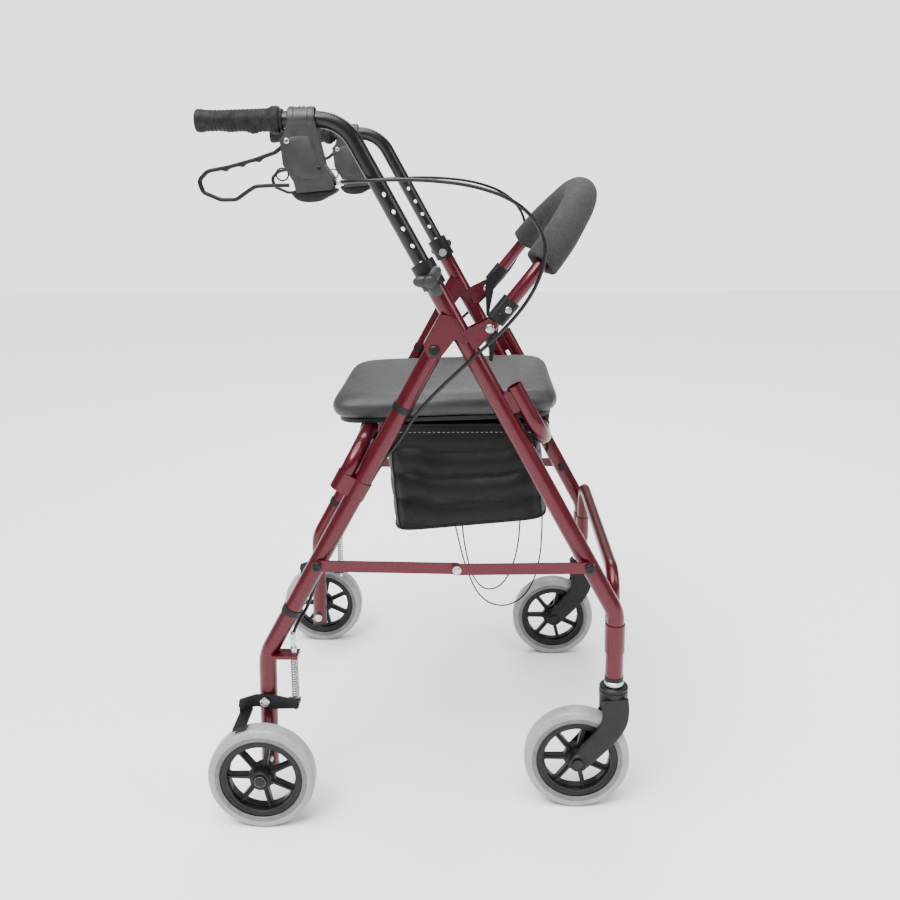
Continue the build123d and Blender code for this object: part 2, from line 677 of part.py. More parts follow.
# ---- casters and wheels ------------------------------------------------------------------
fork_top = 190.0
crown_bottom = 154.0
crown_radius = 20.5
stem_radius = 6.0
fork_plate_gap = 15.2     # from the caster's plane to a fork plate's inner face
fork_plate_thick = 5.0
fork_side = [(258, 186), (296.5, 186), (297, 150), (289, 127), (262, 102), (241, 72), (225, 63), (212, 76),
             (232, 102), (258, 134), (263, 150), (258, 160)]
wheel_places = [(f"front_{name}", (axle_x, side * side_y)) for name, side in sides]
wheel_places += [(f"rear_{name}", (-axle_x, side * rear_wheel_y)) for name, side in sides]
rim_width = 21.0
rim_band = 49.0
rim_web = 9.0
spoke_count = 7
hub_radius = 15.0
with BuildSketch() as window:
    with BuildLine():
        Polyline((18.5, -5), (44.5, -18), (48, 0), (44.5, 18), (18.5, 5), close=True)
    make_face()
    fillet(window.vertices(), 3.0)

bushes = []
for name, side in sides:
    y = side * side_y
    with BuildPart() as caster_fork:
        with BuildSketch(Plane.XY.offset(crown_bottom)):
            with Locations((stem_x, y)):
                Circle(crown_radius)
        extrude(amount=fork_top - crown_bottom)
        for offset in (-1, 1):
            plate_y = y + offset * (fork_plate_gap + fork_plate_thick / 2)
            add(plate(fork_side, plate_y, fork_plate_thick, 4.0, [(axle_x, axle_z, axle_radius + 0.02)]))
        with Locations((stem_x, y, fork_top)):
            Cylinder(stem_radius, 84, align=(Align.CENTER, Align.CENTER, Align.MIN))
    keep(caster_fork.part, f"caster_fork_{name}")

    outer = fork_plate_gap + fork_plate_thick
    with BuildPart() as caster_axle:
        add(cross_pin((axle_x, axle_z), y - outer - 4, y + outer + 4, axle_radius))
        for offset in (-1, 1):
            low, high = sorted((y + offset * outer, y + offset * (outer + 4)))
            add(cross_pin((axle_x, axle_z), low, high, 7.5))
    keep(caster_axle.part, f"caster_axle_{name}")

    with BuildPart() as stem_bush:
        with BuildSketch(Plane.XY.offset(leg_bottom_z - 13)):
            with Locations((stem_x, y)):
                Circle(13.5)
        extrude(amount=13)
        with BuildSketch(Plane.XY.offset(leg_bottom_z)):
            with Locations((stem_x, y)):
                Circle(leg_radius - leg_wall - 0.05)
        extrude(amount=70)
        with Locations((stem_x, y, leg_bottom_z)):
            Cylinder(stem_radius + running, 200, mode=Mode.SUBTRACT)
    bushes.append(stem_bush.part)
group("stem_bushes", bushes)

for place, (x, y) in wheel_places:
    centre_plane = Plane(origin=(x, y, axle_z), x_dir=(1, 0, 0), z_dir=(0, -1, 0))
    with BuildPart() as rim:
        with BuildSketch(centre_plane):
            Circle(tyre_inner_radius - 0.05)
            Circle(rim_band, mode=Mode.SUBTRACT)
        extrude(amount=rim_width / 2, both=True)
        with BuildSketch(centre_plane):
            Circle(hub_radius)
        extrude(amount=hub_length / 2, both=True)
        with BuildSketch(centre_plane):
            Circle(rim_band + 1)
            with PolarLocations(0, spoke_count):
                add(window.sketch, mode=Mode.SUBTRACT)
        extrude(amount=rim_web / 2, both=True)
        bore = cross_pin((x, axle_z), y - hub_length, y + hub_length, axle_radius + running)
        add(bore, mode=Mode.SUBTRACT)
    with BuildPart() as tyre:
        with BuildSketch(centre_plane):
            Circle(wheel_radius)
            Circle(tyre_inner_radius, mode=Mode.SUBTRACT)
        extrude(amount=tyre_width / 2, both=True)
        fillet(tyre.edges().filter_by(GeomType.CIRCLE).group_by(SortBy.RADIUS)[-1], 6.0)
    keep(rim.part, f"rim_{place}")
    keep(tyre.part, f"tyre_{place}")
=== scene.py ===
import json
import math

import bmesh
import bpy
import numpy as np
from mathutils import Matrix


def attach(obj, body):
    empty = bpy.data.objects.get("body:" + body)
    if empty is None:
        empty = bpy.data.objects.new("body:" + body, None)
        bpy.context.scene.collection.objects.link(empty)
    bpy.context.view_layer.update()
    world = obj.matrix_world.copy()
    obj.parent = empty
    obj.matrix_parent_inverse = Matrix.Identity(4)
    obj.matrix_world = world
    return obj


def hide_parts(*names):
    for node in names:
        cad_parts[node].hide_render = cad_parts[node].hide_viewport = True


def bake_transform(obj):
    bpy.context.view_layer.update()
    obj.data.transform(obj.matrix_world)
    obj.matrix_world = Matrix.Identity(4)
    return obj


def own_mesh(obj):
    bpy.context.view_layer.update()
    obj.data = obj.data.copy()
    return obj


# Folding rollator walker. Lengths here are millimetres and become metres when a mesh is made.
# X is forward, Y is the user's left, Z is up.
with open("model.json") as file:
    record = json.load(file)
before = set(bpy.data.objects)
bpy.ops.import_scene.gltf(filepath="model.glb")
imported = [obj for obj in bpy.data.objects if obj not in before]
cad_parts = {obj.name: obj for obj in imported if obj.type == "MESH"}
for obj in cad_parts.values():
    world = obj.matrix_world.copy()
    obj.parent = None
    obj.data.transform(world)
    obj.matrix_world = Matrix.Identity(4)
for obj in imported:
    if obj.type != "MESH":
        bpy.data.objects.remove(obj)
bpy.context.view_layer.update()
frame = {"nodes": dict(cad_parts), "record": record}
joints = {joint["name"]: joint for joint in frame["record"]["behaviour"]["joints"]}
sides = {"right": -1, "left": 1}
print("frame loaded:", len(frame["nodes"]), "nodes")

layout = {
    "sideY": 232.0,          # plane of each side frame
    "backRadius": 9.5,
    "backLean": 39.3,        # degrees from the vertical
    "seatTilt": 1.6,
    "seatCentre": (34.5, 0.0, 566.0),
    "frontBow": (175.3, 551.5),
    "rearBow": (-77.5, 545.0),
}
backTurn = math.radians(layout["backLean"])


def pivot(jointName):
    # a joint's place in millimetres
    return np.array(joints[jointName]["pos_m"]) * 1000


def onLean(along, ahead=0.0, y=0.0):
    # point in the backrest's leaning plane
    base = pivot("backrest_swing")
    x = base[0] + along * math.sin(backTurn) + ahead * math.cos(backTurn)
    z = base[2] + along * math.cos(backTurn) - ahead * math.sin(backTurn)
    return np.array([x, y, z])


# Mesh making

def gridFaces(rows, columns, closeRows, closeColumns):
    # each quad joins a grid point to the next one along and the next one across
    index = np.arange(rows * columns).reshape(rows, columns)
    if closeRows:
        index = np.vstack([index, index[:1]])
    if closeColumns:
        index = np.hstack([index, index[:, :1]])
    corners = [index[:-1, :-1], index[:-1, 1:], index[1:, 1:], index[1:, :-1]]
    return np.stack(corners, axis=-1).reshape(-1, 4)


def addPiece(name, mesh, finish, body, sharp=38):
    # merges poles, points the faces outwards and puts the piece on its body
    shell = bmesh.new()
    shell.from_mesh(mesh)
    bmesh.ops.remove_doubles(shell, verts=shell.verts, dist=1e-6)
    bmesh.ops.recalc_face_normals(shell, faces=shell.faces)
    shell.to_mesh(mesh)
    shell.free()
    mesh.materials.append(finish)
    mesh.shade_smooth()
    mesh.set_sharp_from_angle(angle=math.radians(sharp))
    piece = bpy.data.objects.new(name, mesh)
    bpy.context.scene.collection.objects.link(piece)
    if body:
        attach(piece, body)
    return piece


def addSurface(name, points, finish, body, closeRows=False, closeColumns=True, caps=True, sharp=38):
    # a grid of points (rows, columns, 3) in millimetres becomes one surface
    rows, columns = points.shape[:2]
    faces = gridFaces(rows, columns, closeRows, closeColumns).tolist()
    if caps and closeColumns and not closeRows:
        faces += [list(range(columns)), list(range((rows - 1) * columns, rows * columns))]
    mesh = bpy.data.meshes.new(name)
    mesh.from_pydata(points.reshape(-1, 3) / 1000, [], faces)
    return addPiece(name, mesh, finish, body, sharp)


def addSurfaces(name, grids, finish, body, closeRows=False, caps=True, sharp=38):
    # several surfaces kept as one piece
    points, faces, start = [], [], 0
    for grid in grids:
        rows, columns = grid.shape[:2]
        faces += (gridFaces(rows, columns, closeRows, True) + start).tolist()
        if caps and not closeRows:
            faces.append(list(range(start, start + columns)))
            faces.append(list(range(start + (rows - 1) * columns, start + rows * columns)))
        points.append(grid.reshape(-1, 3))
        start += rows * columns
    mesh = bpy.data.meshes.new(name)
    mesh.from_pydata(np.vstack(points) / 1000, [], faces)
    return addPiece(name, mesh, finish, body, sharp)


def unit(vectors):
    return vectors / np.maximum(np.linalg.norm(vectors, axis=-1, keepdims=True), 1e-9)


def turned(profile, centre, axis, around=48, flute=0.0, flutes=0):
    # profile pairs (along, radius) swept round an axis; flutes wave the radius round it
    axis = unit(np.array(axis, float))
    helper = np.array([0.0, 0.0, 1.0]) if abs(axis[2]) < 0.9 else np.array([1.0, 0.0, 0.0])
    first = unit(np.cross(axis, helper))
    second = np.cross(axis, first)
    angle = np.linspace(0, 2 * np.pi, around, endpoint=False)
    profile = np.array(profile, float)
    wave = 1 + flute * np.cos(flutes * angle)
    ring = (first * np.cos(angle)[:, None] + second * np.sin(angle)[:, None]) * wave[:, None]
    return np.array(centre) + profile[:, None, :1] * axis + profile[:, None, 1:] * ring[None]


def softened(points, cuts=2, closed=False, share=0.25):
    # corner cutting: each run keeps its middle, and each corner becomes a short chamfer
    points = np.array(points, float)
    for cut in range(cuts):
        after = np.roll(points, -1, axis=0) if closed else points[1:]
        before = points if closed else points[:-1]
        pairs = np.stack([before * (1 - share) + after * share, before * share + after * (1 - share)], 1)
        inner = pairs.reshape(-1, points.shape[1])
        points = inner if closed else np.vstack([points[:1], inner, points[-1:]])
    return points


def filletPath(points, radii, step=4.0, closed=False):
    # straight runs joined by tangent arcs, then points evenly spaced along them
    points = np.array(points, float)
    count = len(points)
    corners = range(count) if closed else range(1, count - 1)
    line = [] if closed else [points[:1]]
    for place, radius in zip(corners, radii):
        here = points[place]
        back = unit(points[place - 1] - here)
        on = unit(points[(place + 1) % count] - here)
        half = 0.5 * math.acos(np.clip(back @ on, -1, 1))
        reach = radius / math.tan(half)
        middle = here + unit(back + on) * radius / math.sin(half)
        start, end = here + back * reach, here + on * reach
        sweep = np.linspace(0, 1, 17)[:, None]
        total = math.pi - 2 * half
        spoke, far = start - middle, end - middle
        turning = np.sin((1 - sweep) * total) * spoke + np.sin(sweep * total) * far
        line.append(middle + turning / math.sin(total))
    line.append(line[0][:1] if closed else points[-1:])
    line = np.vstack(line)
    travel = np.concatenate([[0], np.cumsum(np.linalg.norm(np.diff(line, axis=0), axis=1))])
    spaced = np.linspace(0, travel[-1], max(3, round(travel[-1] / step)) + 1)
    even = np.stack([np.interp(spaced, travel, line[:, k]) for k in range(3)], axis=1)
    return even[:-1] if closed else even


def carried(path, profile, side, closed=False):
    # profile pairs (across, aside) carried along a path; across is square to the path and the side vector
    if closed:
        run = np.roll(path, -1, axis=0) - np.roll(path, 1, axis=0)
    else:
        run = np.gradient(path, axis=0)
    run = unit(run)
    across = unit(np.cross(run, np.array(side, float)))
    aside = np.cross(across, run)
    profile = np.array(profile, float)
    if profile.ndim == 2:
        profile = np.repeat(profile[None], len(path), axis=0)
    return path[:, None] + profile[..., :1] * across[:, None] + profile[..., 1:] * aside[:, None]


def roundProfile(radius, around=20):
    angle = np.linspace(0, 2 * np.pi, around, endpoint=False)
    return np.stack([np.cos(angle), np.sin(angle)], axis=1) * radius


def squareProfile(width, height, power=4.0, around=24):
    # superellipse: a rectangle whose corners are rounded by its power
    angle = np.linspace(0, 2 * np.pi, around, endpoint=False)
    bend = 2 / power
    across = np.sign(np.cos(angle)) * np.abs(np.cos(angle)) ** bend * width / 2
    aside = np.sign(np.sin(angle)) * np.abs(np.sin(angle)) ** bend * height / 2
    return np.stack([across, aside], axis=1)


def splineLine(name, points, bevel=0.0):
    # smooth curve with the points as its control points
    curve = bpy.data.curves.new(name, "CURVE")
    curve.dimensions = "3D"
    spline = curve.splines.new("NURBS")
    spline.points.add(len(points) - 1)
    weighted = np.hstack([np.array(points, float) / 1000, np.ones((len(points), 1))])
    spline.points.foreach_set("co", weighted.ravel())
    spline.order_u = 3
    spline.use_endpoint_u = True
    curve.resolution_u = 14
    curve.bevel_depth = bevel / 1000
    curve.bevel_resolution = 4
    curve.use_fill_caps = True
    return curve


def linePoints(name, points):
    # the points of the smooth curve itself, in millimetres
    holder = bpy.data.objects.new(name, splineLine(name, points))
    bpy.context.scene.collection.objects.link(holder)
    mesh = bpy.data.meshes.new_from_object(holder)
    line = np.zeros(len(mesh.vertices) * 3)
    mesh.vertices.foreach_get("co", line)
    bpy.data.objects.remove(holder)
    bpy.data.meshes.remove(mesh)
    return line.reshape(-1, 3) * 1000


# Materials. A wave pattern repeats every 0.314 m at a scale of 1.

def toLinear(hexColour):
    channels = np.array([int(hexColour[place:place + 2], 16) for place in (1, 3, 5)]) / 255
    linear = np.where(channels <= 0.04045, channels / 12.92, ((channels + 0.055) / 1.055) ** 2.4)
    return (*linear.tolist(), 1.0)


def addNode(tree, kind, inputs=None, **settings):
    # inputs: socket name or number, with a value or another node's output
    node = tree.nodes.new(kind)
    for key, value in settings.items():
        setattr(node, key, value)
    for socket, value in (inputs or {}).items():
        if isinstance(value, bpy.types.NodeSocket):
            tree.links.new(value, node.inputs[socket])
        else:
            node.inputs[socket].default_value = value
    return node


def newFinish(name, slotName, shader):
    # an empty material with its shader's own values set
    finish = bpy.data.materials.new(name)
    finish.use_nodes = True
    tree = finish.node_tree
    tree.nodes.clear()
    surface = addNode(tree, "ShaderNodeBsdfPrincipled", shader)
    addNode(tree, "ShaderNodeOutputMaterial", {"Surface": surface.outputs[0]})
    place = addNode(tree, "ShaderNodeTexCoord").outputs["Object"]
    finishSlots[name] = slotName
    return finish, tree, surface, place


def dress(tree, surface, place, look):
    # colour, gloss and relief each follow a pattern: cloudy noise of a size in millimetres, or a given one
    normal = None
    for use, part in look.items():
        pattern = part.get("pattern")
        if pattern is None:
            cloud = {"Vector": place, "Scale": 1000 / part["size"], "Detail": part["detail"]}
            cloud["Roughness"] = part.get("rough", 0.55)
            pattern = addNode(tree, "ShaderNodeTexNoise", cloud).outputs["Fac"]
        if use == "colour":
            blend = {"Value": pattern, "From Min": part.get("start", 0.3), "From Max": part.get("end", 0.7)}
            share = addNode(tree, "ShaderNodeMapRange", blend).outputs["Result"]
            colours = {0: share, 6: toLinear(part["low"]), 7: toLinear(part["high"])}
            shade = addNode(tree, "ShaderNodeMix", colours, data_type="RGBA")
            tree.links.new(shade.outputs[2], surface.inputs["Base Color"])
        elif use == "gloss":
            spread = {"Value": pattern, "From Min": 0.3, "From Max": 0.7, "To Min": part["low"],
                      "To Max": part["high"]}
            polish = addNode(tree, "ShaderNodeMapRange", spread)
            tree.links.new(polish.outputs["Result"], surface.inputs["Roughness"])
        else:
            height = {"Height": pattern, "Distance": part["depth"] / 1000, "Strength": part["strength"]}
            if normal:
                height["Normal"] = normal
            normal = addNode(tree, "ShaderNodeBump", height).outputs["Normal"]
    if normal:
        tree.links.new(normal, surface.inputs["Normal"])


finishSlots = {}


def makeBurgundyPowderCoat():
    # metallic powder coat over steel: pinkish flake glints under a clear film with slight orange peel
    finish, tree, surface, place = newFinish("burgundyPowderCoat", "frame_paint",
                                             {"Metallic": 0.45, "Specular IOR Level": 0.4,
                                              "Coat Weight": 0.3, "Coat Roughness": 0.1})
    dress(tree, surface, place, {
        "colour": {"size": 1.1, "detail": 1.0, "low": "#33030e", "high": "#5f081d"},
        "gloss": {"size": 40, "detail": 4.0, "low": 0.27, "high": 0.40},
        "relief": {"size": 3.0, "detail": 1.0, "depth": 0.05, "strength": 0.5}})
    return finish


def makeBlackPowderCoat():
    # satin black powder coat on the handle tubes: fine orange peel and soft long highlights
    finish, tree, surface, place = newFinish("blackPowderCoat", "handle_paint",
                                             {"Specular IOR Level": 0.3, "IOR": 1.5, "Coat Weight": 0.2,
                                              "Coat Roughness": 0.2})
    dress(tree, surface, place, {
        "colour": {"size": 9, "detail": 4.0, "low": "#060607", "high": "#0f0f11"},
        "gloss": {"size": 30, "detail": 5.0, "low": 0.28, "high": 0.42},
        "relief": {"size": 2.2, "detail": 2.0, "depth": 0.05, "strength": 0.6}})
    return finish


def makeMouldedNylon():
    # glass-filled nylon from a spark-eroded mould: even matt grain with faint flow marks
    finish, tree, surface, place = newFinish("mouldedNylon", "black_plastic",
                                             {"IOR": 1.53, "Specular IOR Level": 0.28})
    dress(tree, surface, place, {
        "colour": {"size": 14, "detail": 5.0, "low": "#060607", "high": "#101012"},
        "gloss": {"size": 22, "detail": 4.0, "low": 0.38, "high": 0.55},
        "relief": {"size": 0.9, "detail": 2.0, "depth": 0.08, "strength": 0.7}})
    return finish


def makeGripRubber():
    # thermoplastic rubber: dull, slightly dusty on its ribs
    finish, tree, surface, place = newFinish("gripRubber", "grip_rubber",
                                             {"IOR": 1.5, "Specular IOR Level": 0.25})
    dress(tree, surface, place, {
        "colour": {"size": 9, "detail": 6.0, "rough": 0.7, "low": "#0a0a0b", "high": "#232224",
                   "start": 0.42, "end": 0.68},
        "gloss": {"size": 12, "detail": 4.0, "low": 0.55, "high": 0.75},
        "relief": {"size": 1.0, "detail": 3.0, "depth": 0.1, "strength": 0.6}})
    return finish


def makeTyrePolyurethane():
    # cast polyurethane tread: light grey, semi-matt, faintly mottled with floor dust
    finish, tree, surface, place = newFinish("tyrePolyurethane", "tyre_grey",
                                             {"IOR": 1.5, "Subsurface Weight": 0.04,
                                              "Subsurface Radius": (0.002, 0.002, 0.002)})
    dress(tree, surface, place, {
        "colour": {"size": 18, "detail": 6.0, "rough": 0.65, "low": "#7f7f80", "high": "#9b9b9c",
                   "start": 0.25, "end": 0.75},
        "gloss": {"size": 9, "detail": 4.0, "low": 0.3, "high": 0.46},
        "relief": {"size": 1.6, "detail": 3.0, "depth": 0.08, "strength": 0.5}})
    return finish


def makeZincPlate():
    # bright zinc plate on bolts and springs: cool metal with faint drawn streaks
    finish, tree, surface, place = newFinish("zincPlate", "bolt_steel", {"Metallic": 1.0})
    dress(tree, surface, place, {
        "colour": {"size": 5, "detail": 4.0, "low": "#a9acb0", "high": "#cfd1d4"},
        "gloss": {"size": 4, "detail": 3.0, "low": 0.18, "high": 0.36},
        "relief": {"size": 0.8, "detail": 2.0, "depth": 0.03, "strength": 0.4}})
    return finish


def makeBlackSteel():
    # pressed steel with thin black paint: slightly uneven gloss
    finish, tree, surface, place = newFinish("blackSteel", "black_steel",
                                             {"IOR": 1.5, "Specular IOR Level": 0.3})
    dress(tree, surface, place, {
        "colour": {"size": 8, "detail": 5.0, "low": "#080809", "high": "#131315"},
        "gloss": {"size": 10, "detail": 4.0, "low": 0.32, "high": 0.5},
        "relief": {"size": 1.8, "detail": 2.0, "depth": 0.05, "strength": 0.5}})
    return finish


def makeCableSheath():
    # extruded vinyl casing: smooth, glossy along its length
    finish, tree, surface, place = newFinish("cableSheath", "cable_black",
                                             {"IOR": 1.53, "Specular IOR Level": 0.3})
    dress(tree, surface, place, {
        "colour": {"size": 25, "detail": 3.0, "low": "#08080a", "high": "#121215"},
        "gloss": {"size": 15, "detail": 3.0, "low": 0.26, "high": 0.4},
        "relief": {"size": 2.0, "detail": 2.0, "depth": 0.04, "strength": 0.4}})
    return finish


def makeSeatVinyl():
    # embossed upholstery vinyl: pebbled grain in cells of about 1.9 mm, grey sheen on its crown
    finish, tree, surface, place = newFinish("seatVinyl", "seat_vinyl",
                                             {"IOR": 1.5, "Sheen Weight": 0.1, "Sheen Roughness": 0.4})
    cells = addNode(tree, "ShaderNodeTexVoronoi", {"Vector": place, "Scale": 1000 / 1.9},
                    feature="DISTANCE_TO_EDGE").outputs["Distance"]
    creases = addNode(tree, "ShaderNodeMapRange", {"Value": cells, "From Min": 0.0,
                                                   "From Max": 0.12}).outputs["Result"]
    dress(tree, surface, place, {
        "colour": {"size": 28, "detail": 5.0, "rough": 0.6, "low": "#1a1a1c", "high": "#262628"},
        "gloss": {"size": 7, "detail": 4.0, "low": 0.34, "high": 0.5},
        "fineRelief": {"pattern": creases, "depth": 0.16, "strength": 0.75},
        "relief": {"size": 28, "detail": 5.0, "rough": 0.6, "depth": 0.8, "strength": 0.35}})
    return finish


def makeSkinnedFoam():
    # rubber foam sleeve with a cut skin: open pores of about a millimetre
    finish, tree, surface, place = newFinish("skinnedFoam", "pad_foam",
                                             {"IOR": 1.5, "Specular IOR Level": 0.2, "Sheen Weight": 0.03,
                                              "Sheen Roughness": 0.6})
    pores = addNode(tree, "ShaderNodeTexVoronoi", {"Vector": place, "Scale": 1000 / 1.5}).outputs["Distance"]
    dress(tree, surface, place, {
        "colour": {"size": 2.5, "detail": 4.0, "low": "#232325", "high": "#333335"},
        "gloss": {"size": 10, "detail": 3.0, "low": 0.7, "high": 0.9},
        "fineRelief": {"pattern": pores, "depth": 0.25, "strength": 0.6},
        "relief": {"size": 18, "detail": 2.0, "depth": 0.4, "strength": 0.25}})
    return finish


def makeCoatedNylon():
    # woven nylon bag cloth with a coated back: plain weave drawn at 1.3 mm and soft creases
    finish, tree, surface, place = newFinish("coatedNylon", "bag_cloth",
                                             {"IOR": 1.5, "Specular IOR Level": 0.22})
    warp = addNode(tree, "ShaderNodeTexWave", {"Vector": place, "Scale": 314 / 1.3, "Distortion": 0.6},
                   bands_direction="Z").outputs["Fac"]
    weft = addNode(tree, "ShaderNodeTexWave", {"Vector": place, "Scale": 314 / 1.3, "Distortion": 0.6},
                   bands_direction="X").outputs["Fac"]
    weave = addNode(tree, "ShaderNodeMath", {0: warp, 1: weft}, operation="MULTIPLY").outputs[0]
    dress(tree, surface, place, {
        "colour": {"size": 45, "detail": 4.0, "low": "#060607", "high": "#0e0e10"},
        "gloss": {"size": 11, "detail": 4.0, "low": 0.45, "high": 0.62},
        "fineRelief": {"pattern": weave, "depth": 0.12, "strength": 0.6},
        "relief": {"size": 45, "detail": 4.0, "depth": 3.0, "strength": 0.4}})
    return finish


def makeBraidedCord():
    # thin braided polyester cord: tight diagonal ribs
    finish, tree, surface, place = newFinish("braidedCord", "cord_black",
                                             {"IOR": 1.5, "Specular IOR Level": 0.25})
    plait = addNode(tree, "ShaderNodeTexWave", {"Vector": place, "Scale": 314 / 1.6},
                    bands_direction="DIAGONAL").outputs["Fac"]
    surface.inputs["Roughness"].default_value = 0.7
    dress(tree, surface, place, {
        "colour": {"pattern": plait, "low": "#09090a", "high": "#1a1a1c"},
        "relief": {"pattern": plait, "depth": 0.15, "strength": 0.7}})
    return finish


def makeBeadPolyurethane():
    # the tyre's foot beside the rim, coloured darker than the tread
    finish, tree, surface, place = newFinish("beadPolyurethane", "tyre_grey", {"IOR": 1.5})
    dress(tree, surface, place, {
        "colour": {"size": 12, "detail": 5.0, "low": "#565557", "high": "#6b6a6d"},
        "gloss": {"size": 8, "detail": 3.0, "low": 0.35, "high": 0.5},
        "relief": {"size": 1.6, "detail": 2.0, "depth": 0.05, "strength": 0.4}})
    return finish


def makeSlateNylon():
    # lighter, greener batch of moulded nylon on the brake housings and knobs
    finish, tree, surface, place = newFinish("slateNylon", "black_plastic", {"IOR": 1.53})
    dress(tree, surface, place, {
        "colour": {"size": 16, "detail": 5.0, "low": "#161a19", "high": "#222726"},
        "gloss": {"size": 18, "detail": 4.0, "low": 0.4, "high": 0.58},
        "relief": {"size": 0.9, "detail": 2.0, "depth": 0.08, "strength": 0.7}})
    return finish


def makeStrapWebbing():
    # ribbed nylon webbing, 22 mm wide
    finish, tree, surface, place = newFinish("strapWebbing", "bag_cloth",
                                             {"IOR": 1.5, "Specular IOR Level": 0.25})
    ribs = addNode(tree, "ShaderNodeTexWave", {"Vector": place, "Scale": 314 / 1.6},
                   bands_direction="Y").outputs["Fac"]
    surface.inputs["Roughness"].default_value = 0.65
    dress(tree, surface, place, {
        "colour": {"pattern": ribs, "low": "#08080a", "high": "#151517"},
        "relief": {"pattern": ribs, "depth": 0.2, "strength": 0.8}})
    return finish


def makeThreadPolyester():
    # pale sewing thread along the bag's hem
    finish, tree, surface, place = newFinish("threadPolyester", "bag_cloth", {"IOR": 1.5})
    surface.inputs["Roughness"].default_value = 0.6
    dress(tree, surface, place, {
        "colour": {"size": 3, "detail": 2.0, "low": "#6d6d70", "high": "#8b8b8e"},
        "relief": {"size": 0.8, "detail": 2.0, "depth": 0.05, "strength": 0.5}})
    return finish


burgundyPowderCoat = makeBurgundyPowderCoat()
blackPowderCoat = makeBlackPowderCoat()
mouldedNylon = makeMouldedNylon()
gripRubber = makeGripRubber()
tyrePolyurethane = makeTyrePolyurethane()
zincPlate = makeZincPlate()
blackSteel = makeBlackSteel()
cableSheath = makeCableSheath()
seatVinyl = makeSeatVinyl()
skinnedFoam = makeSkinnedFoam()
coatedNylon = makeCoatedNylon()
braidedCord = makeBraidedCord()
beadPolyurethane = makeBeadPolyurethane()
slateNylon = makeSlateNylon()
strapWebbing = makeStrapWebbing()
threadPolyester = makeThreadPolyester()
print("materials made:", len(finishSlots))

finishOfSlot = {}
for finishName, slotName in finishSlots.items():
    finishOfSlot.setdefault(slotName, bpy.data.materials[finishName])
slotOfNode = {part["node"]: part["material_slot"] for part in frame["record"]["subparts"]}
for nodeName, node in frame["nodes"].items():
    node.data.materials.clear()
    node.data.materials.append(finishOfSlot[slotOfNode[nodeName]])
for sideName in sides:
    frame["nodes"][f"brake_housing_{sideName}"].data.materials[0] = slateNylon
print("frame nodes finished")


# Cords and cables

drawcord = {
    "diameter": 2.2,
    "y": -100.0,
    "outer": [(45, 397), (52, 362), (60, 326), (70, 296), (81, 271), (99, 253), (125, 248), (151, 261),
              (168, 288), (177, 322), (181, 360), (181, 398)],
    "inner": [(57, 398), (60, 360), (66, 325), (75, 292), (94, 272), (117, 278), (133, 302), (142, 333),
              (147, 366), (148, 404)],
    "lengths": {"outer": 0.353, "inner": 0.288},
}


def makeDrawcords():
    for loop, leanIn in (("outer", 0.0), ("inner", 6.0)):
        points = [(x, drawcord["y"] + leanIn, z) for x, z in drawcord[loop]]
        name = "drawcord" + loop.capitalize()
        curve = splineLine(name, points, drawcord["diameter"] / 2)
        curve.materials.append(braidedCord)
        piece = bpy.data.objects.new(name, curve)
        bpy.context.scene.collection.objects.link(piece)
        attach(piece, "front_frame")
        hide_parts("drawcord_" + loop)


cable = {
    "radius": 2.5,
    "wireRadius": 0.8,
    "start": (-98.4, 232.0, 902.7),
    "upper": [(-86, 234, 903), (-69, 244.5, 903.8), (-46, 251, 904.6), (-12, 253, 905.2), (28, 254.5, 903.5),
              (80, 257, 896.8), (132, 261, 878.3), (165, 263, 845.4), (173, 264, 804.7), (155, 261, 756.6),
              (121, 257, 712.8), (74, 252.5, 669.6), (21, 246, 618.9)],
    "legTop": (26.0, 681.0),
    "legBend": (-221.0, 236.0),
    "clipped": [(598, 19.5, 241), (562, 18.5, 228), (525, 11.5, 218), (440, 11, 217), (350, 11.5, 217.6),
                (312, 18.5, 223.5)],          # height, distance ahead of the rear leg, width
    "lower": [(-171.5, 230, 291), (-180.8, 237.2, 275), (-182, 238, 262.4)],
}
legRun = np.array(cable["legTop"]) - np.array(cable["legBend"])
legUp = legRun / np.linalg.norm(legRun)


def onRearLeg(height, ahead=0.0, y=0.0):
    # point on the rear leg's axis at a height, or a distance ahead of it
    along = (height - cable["legTop"][1]) / legUp[1]
    x = cable["legTop"][0] + along * legUp[0]
    return np.array([x + ahead * legUp[1], y, height - ahead * legUp[0]])


def makeCables():
    # casing from the brake housing over the bow to the clips on the rear leg, as two lengths that meet on the
    # front frame
    clipped = [onRearLeg(height, ahead, width) for height, ahead, width in cable["clipped"]]
    route = [cable["start"], *cable["upper"], *clipped, *cable["lower"]]
    for name, side in sides.items():
        line = linePoints("cableLine", [(x, y * side, z) for x, y, z in route])
        steps = np.linalg.norm(np.diff(line, axis=0), axis=1)
        travel = np.concatenate([[0], np.cumsum(steps)])
        middle = 0.37 * travel[-1]
        lengths = {"upper": travel <= middle + 5, "lower": travel >= middle - 5}
        for part, chosen in lengths.items():
            path = line[chosen]
            tube = carried(path, roundProfile(cable["radius"], 16), (0, 1, 0))
            piece = addSurface(f"cable{part.capitalize()}.{name}", tube, cableSheath, None)
            if part == "upper":
                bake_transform(piece)
                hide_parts(f"brake_cable_{name}")
            else:
                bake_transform(piece)


makeDrawcords()
makeCables()
print("cords and cables made")


# Wheels

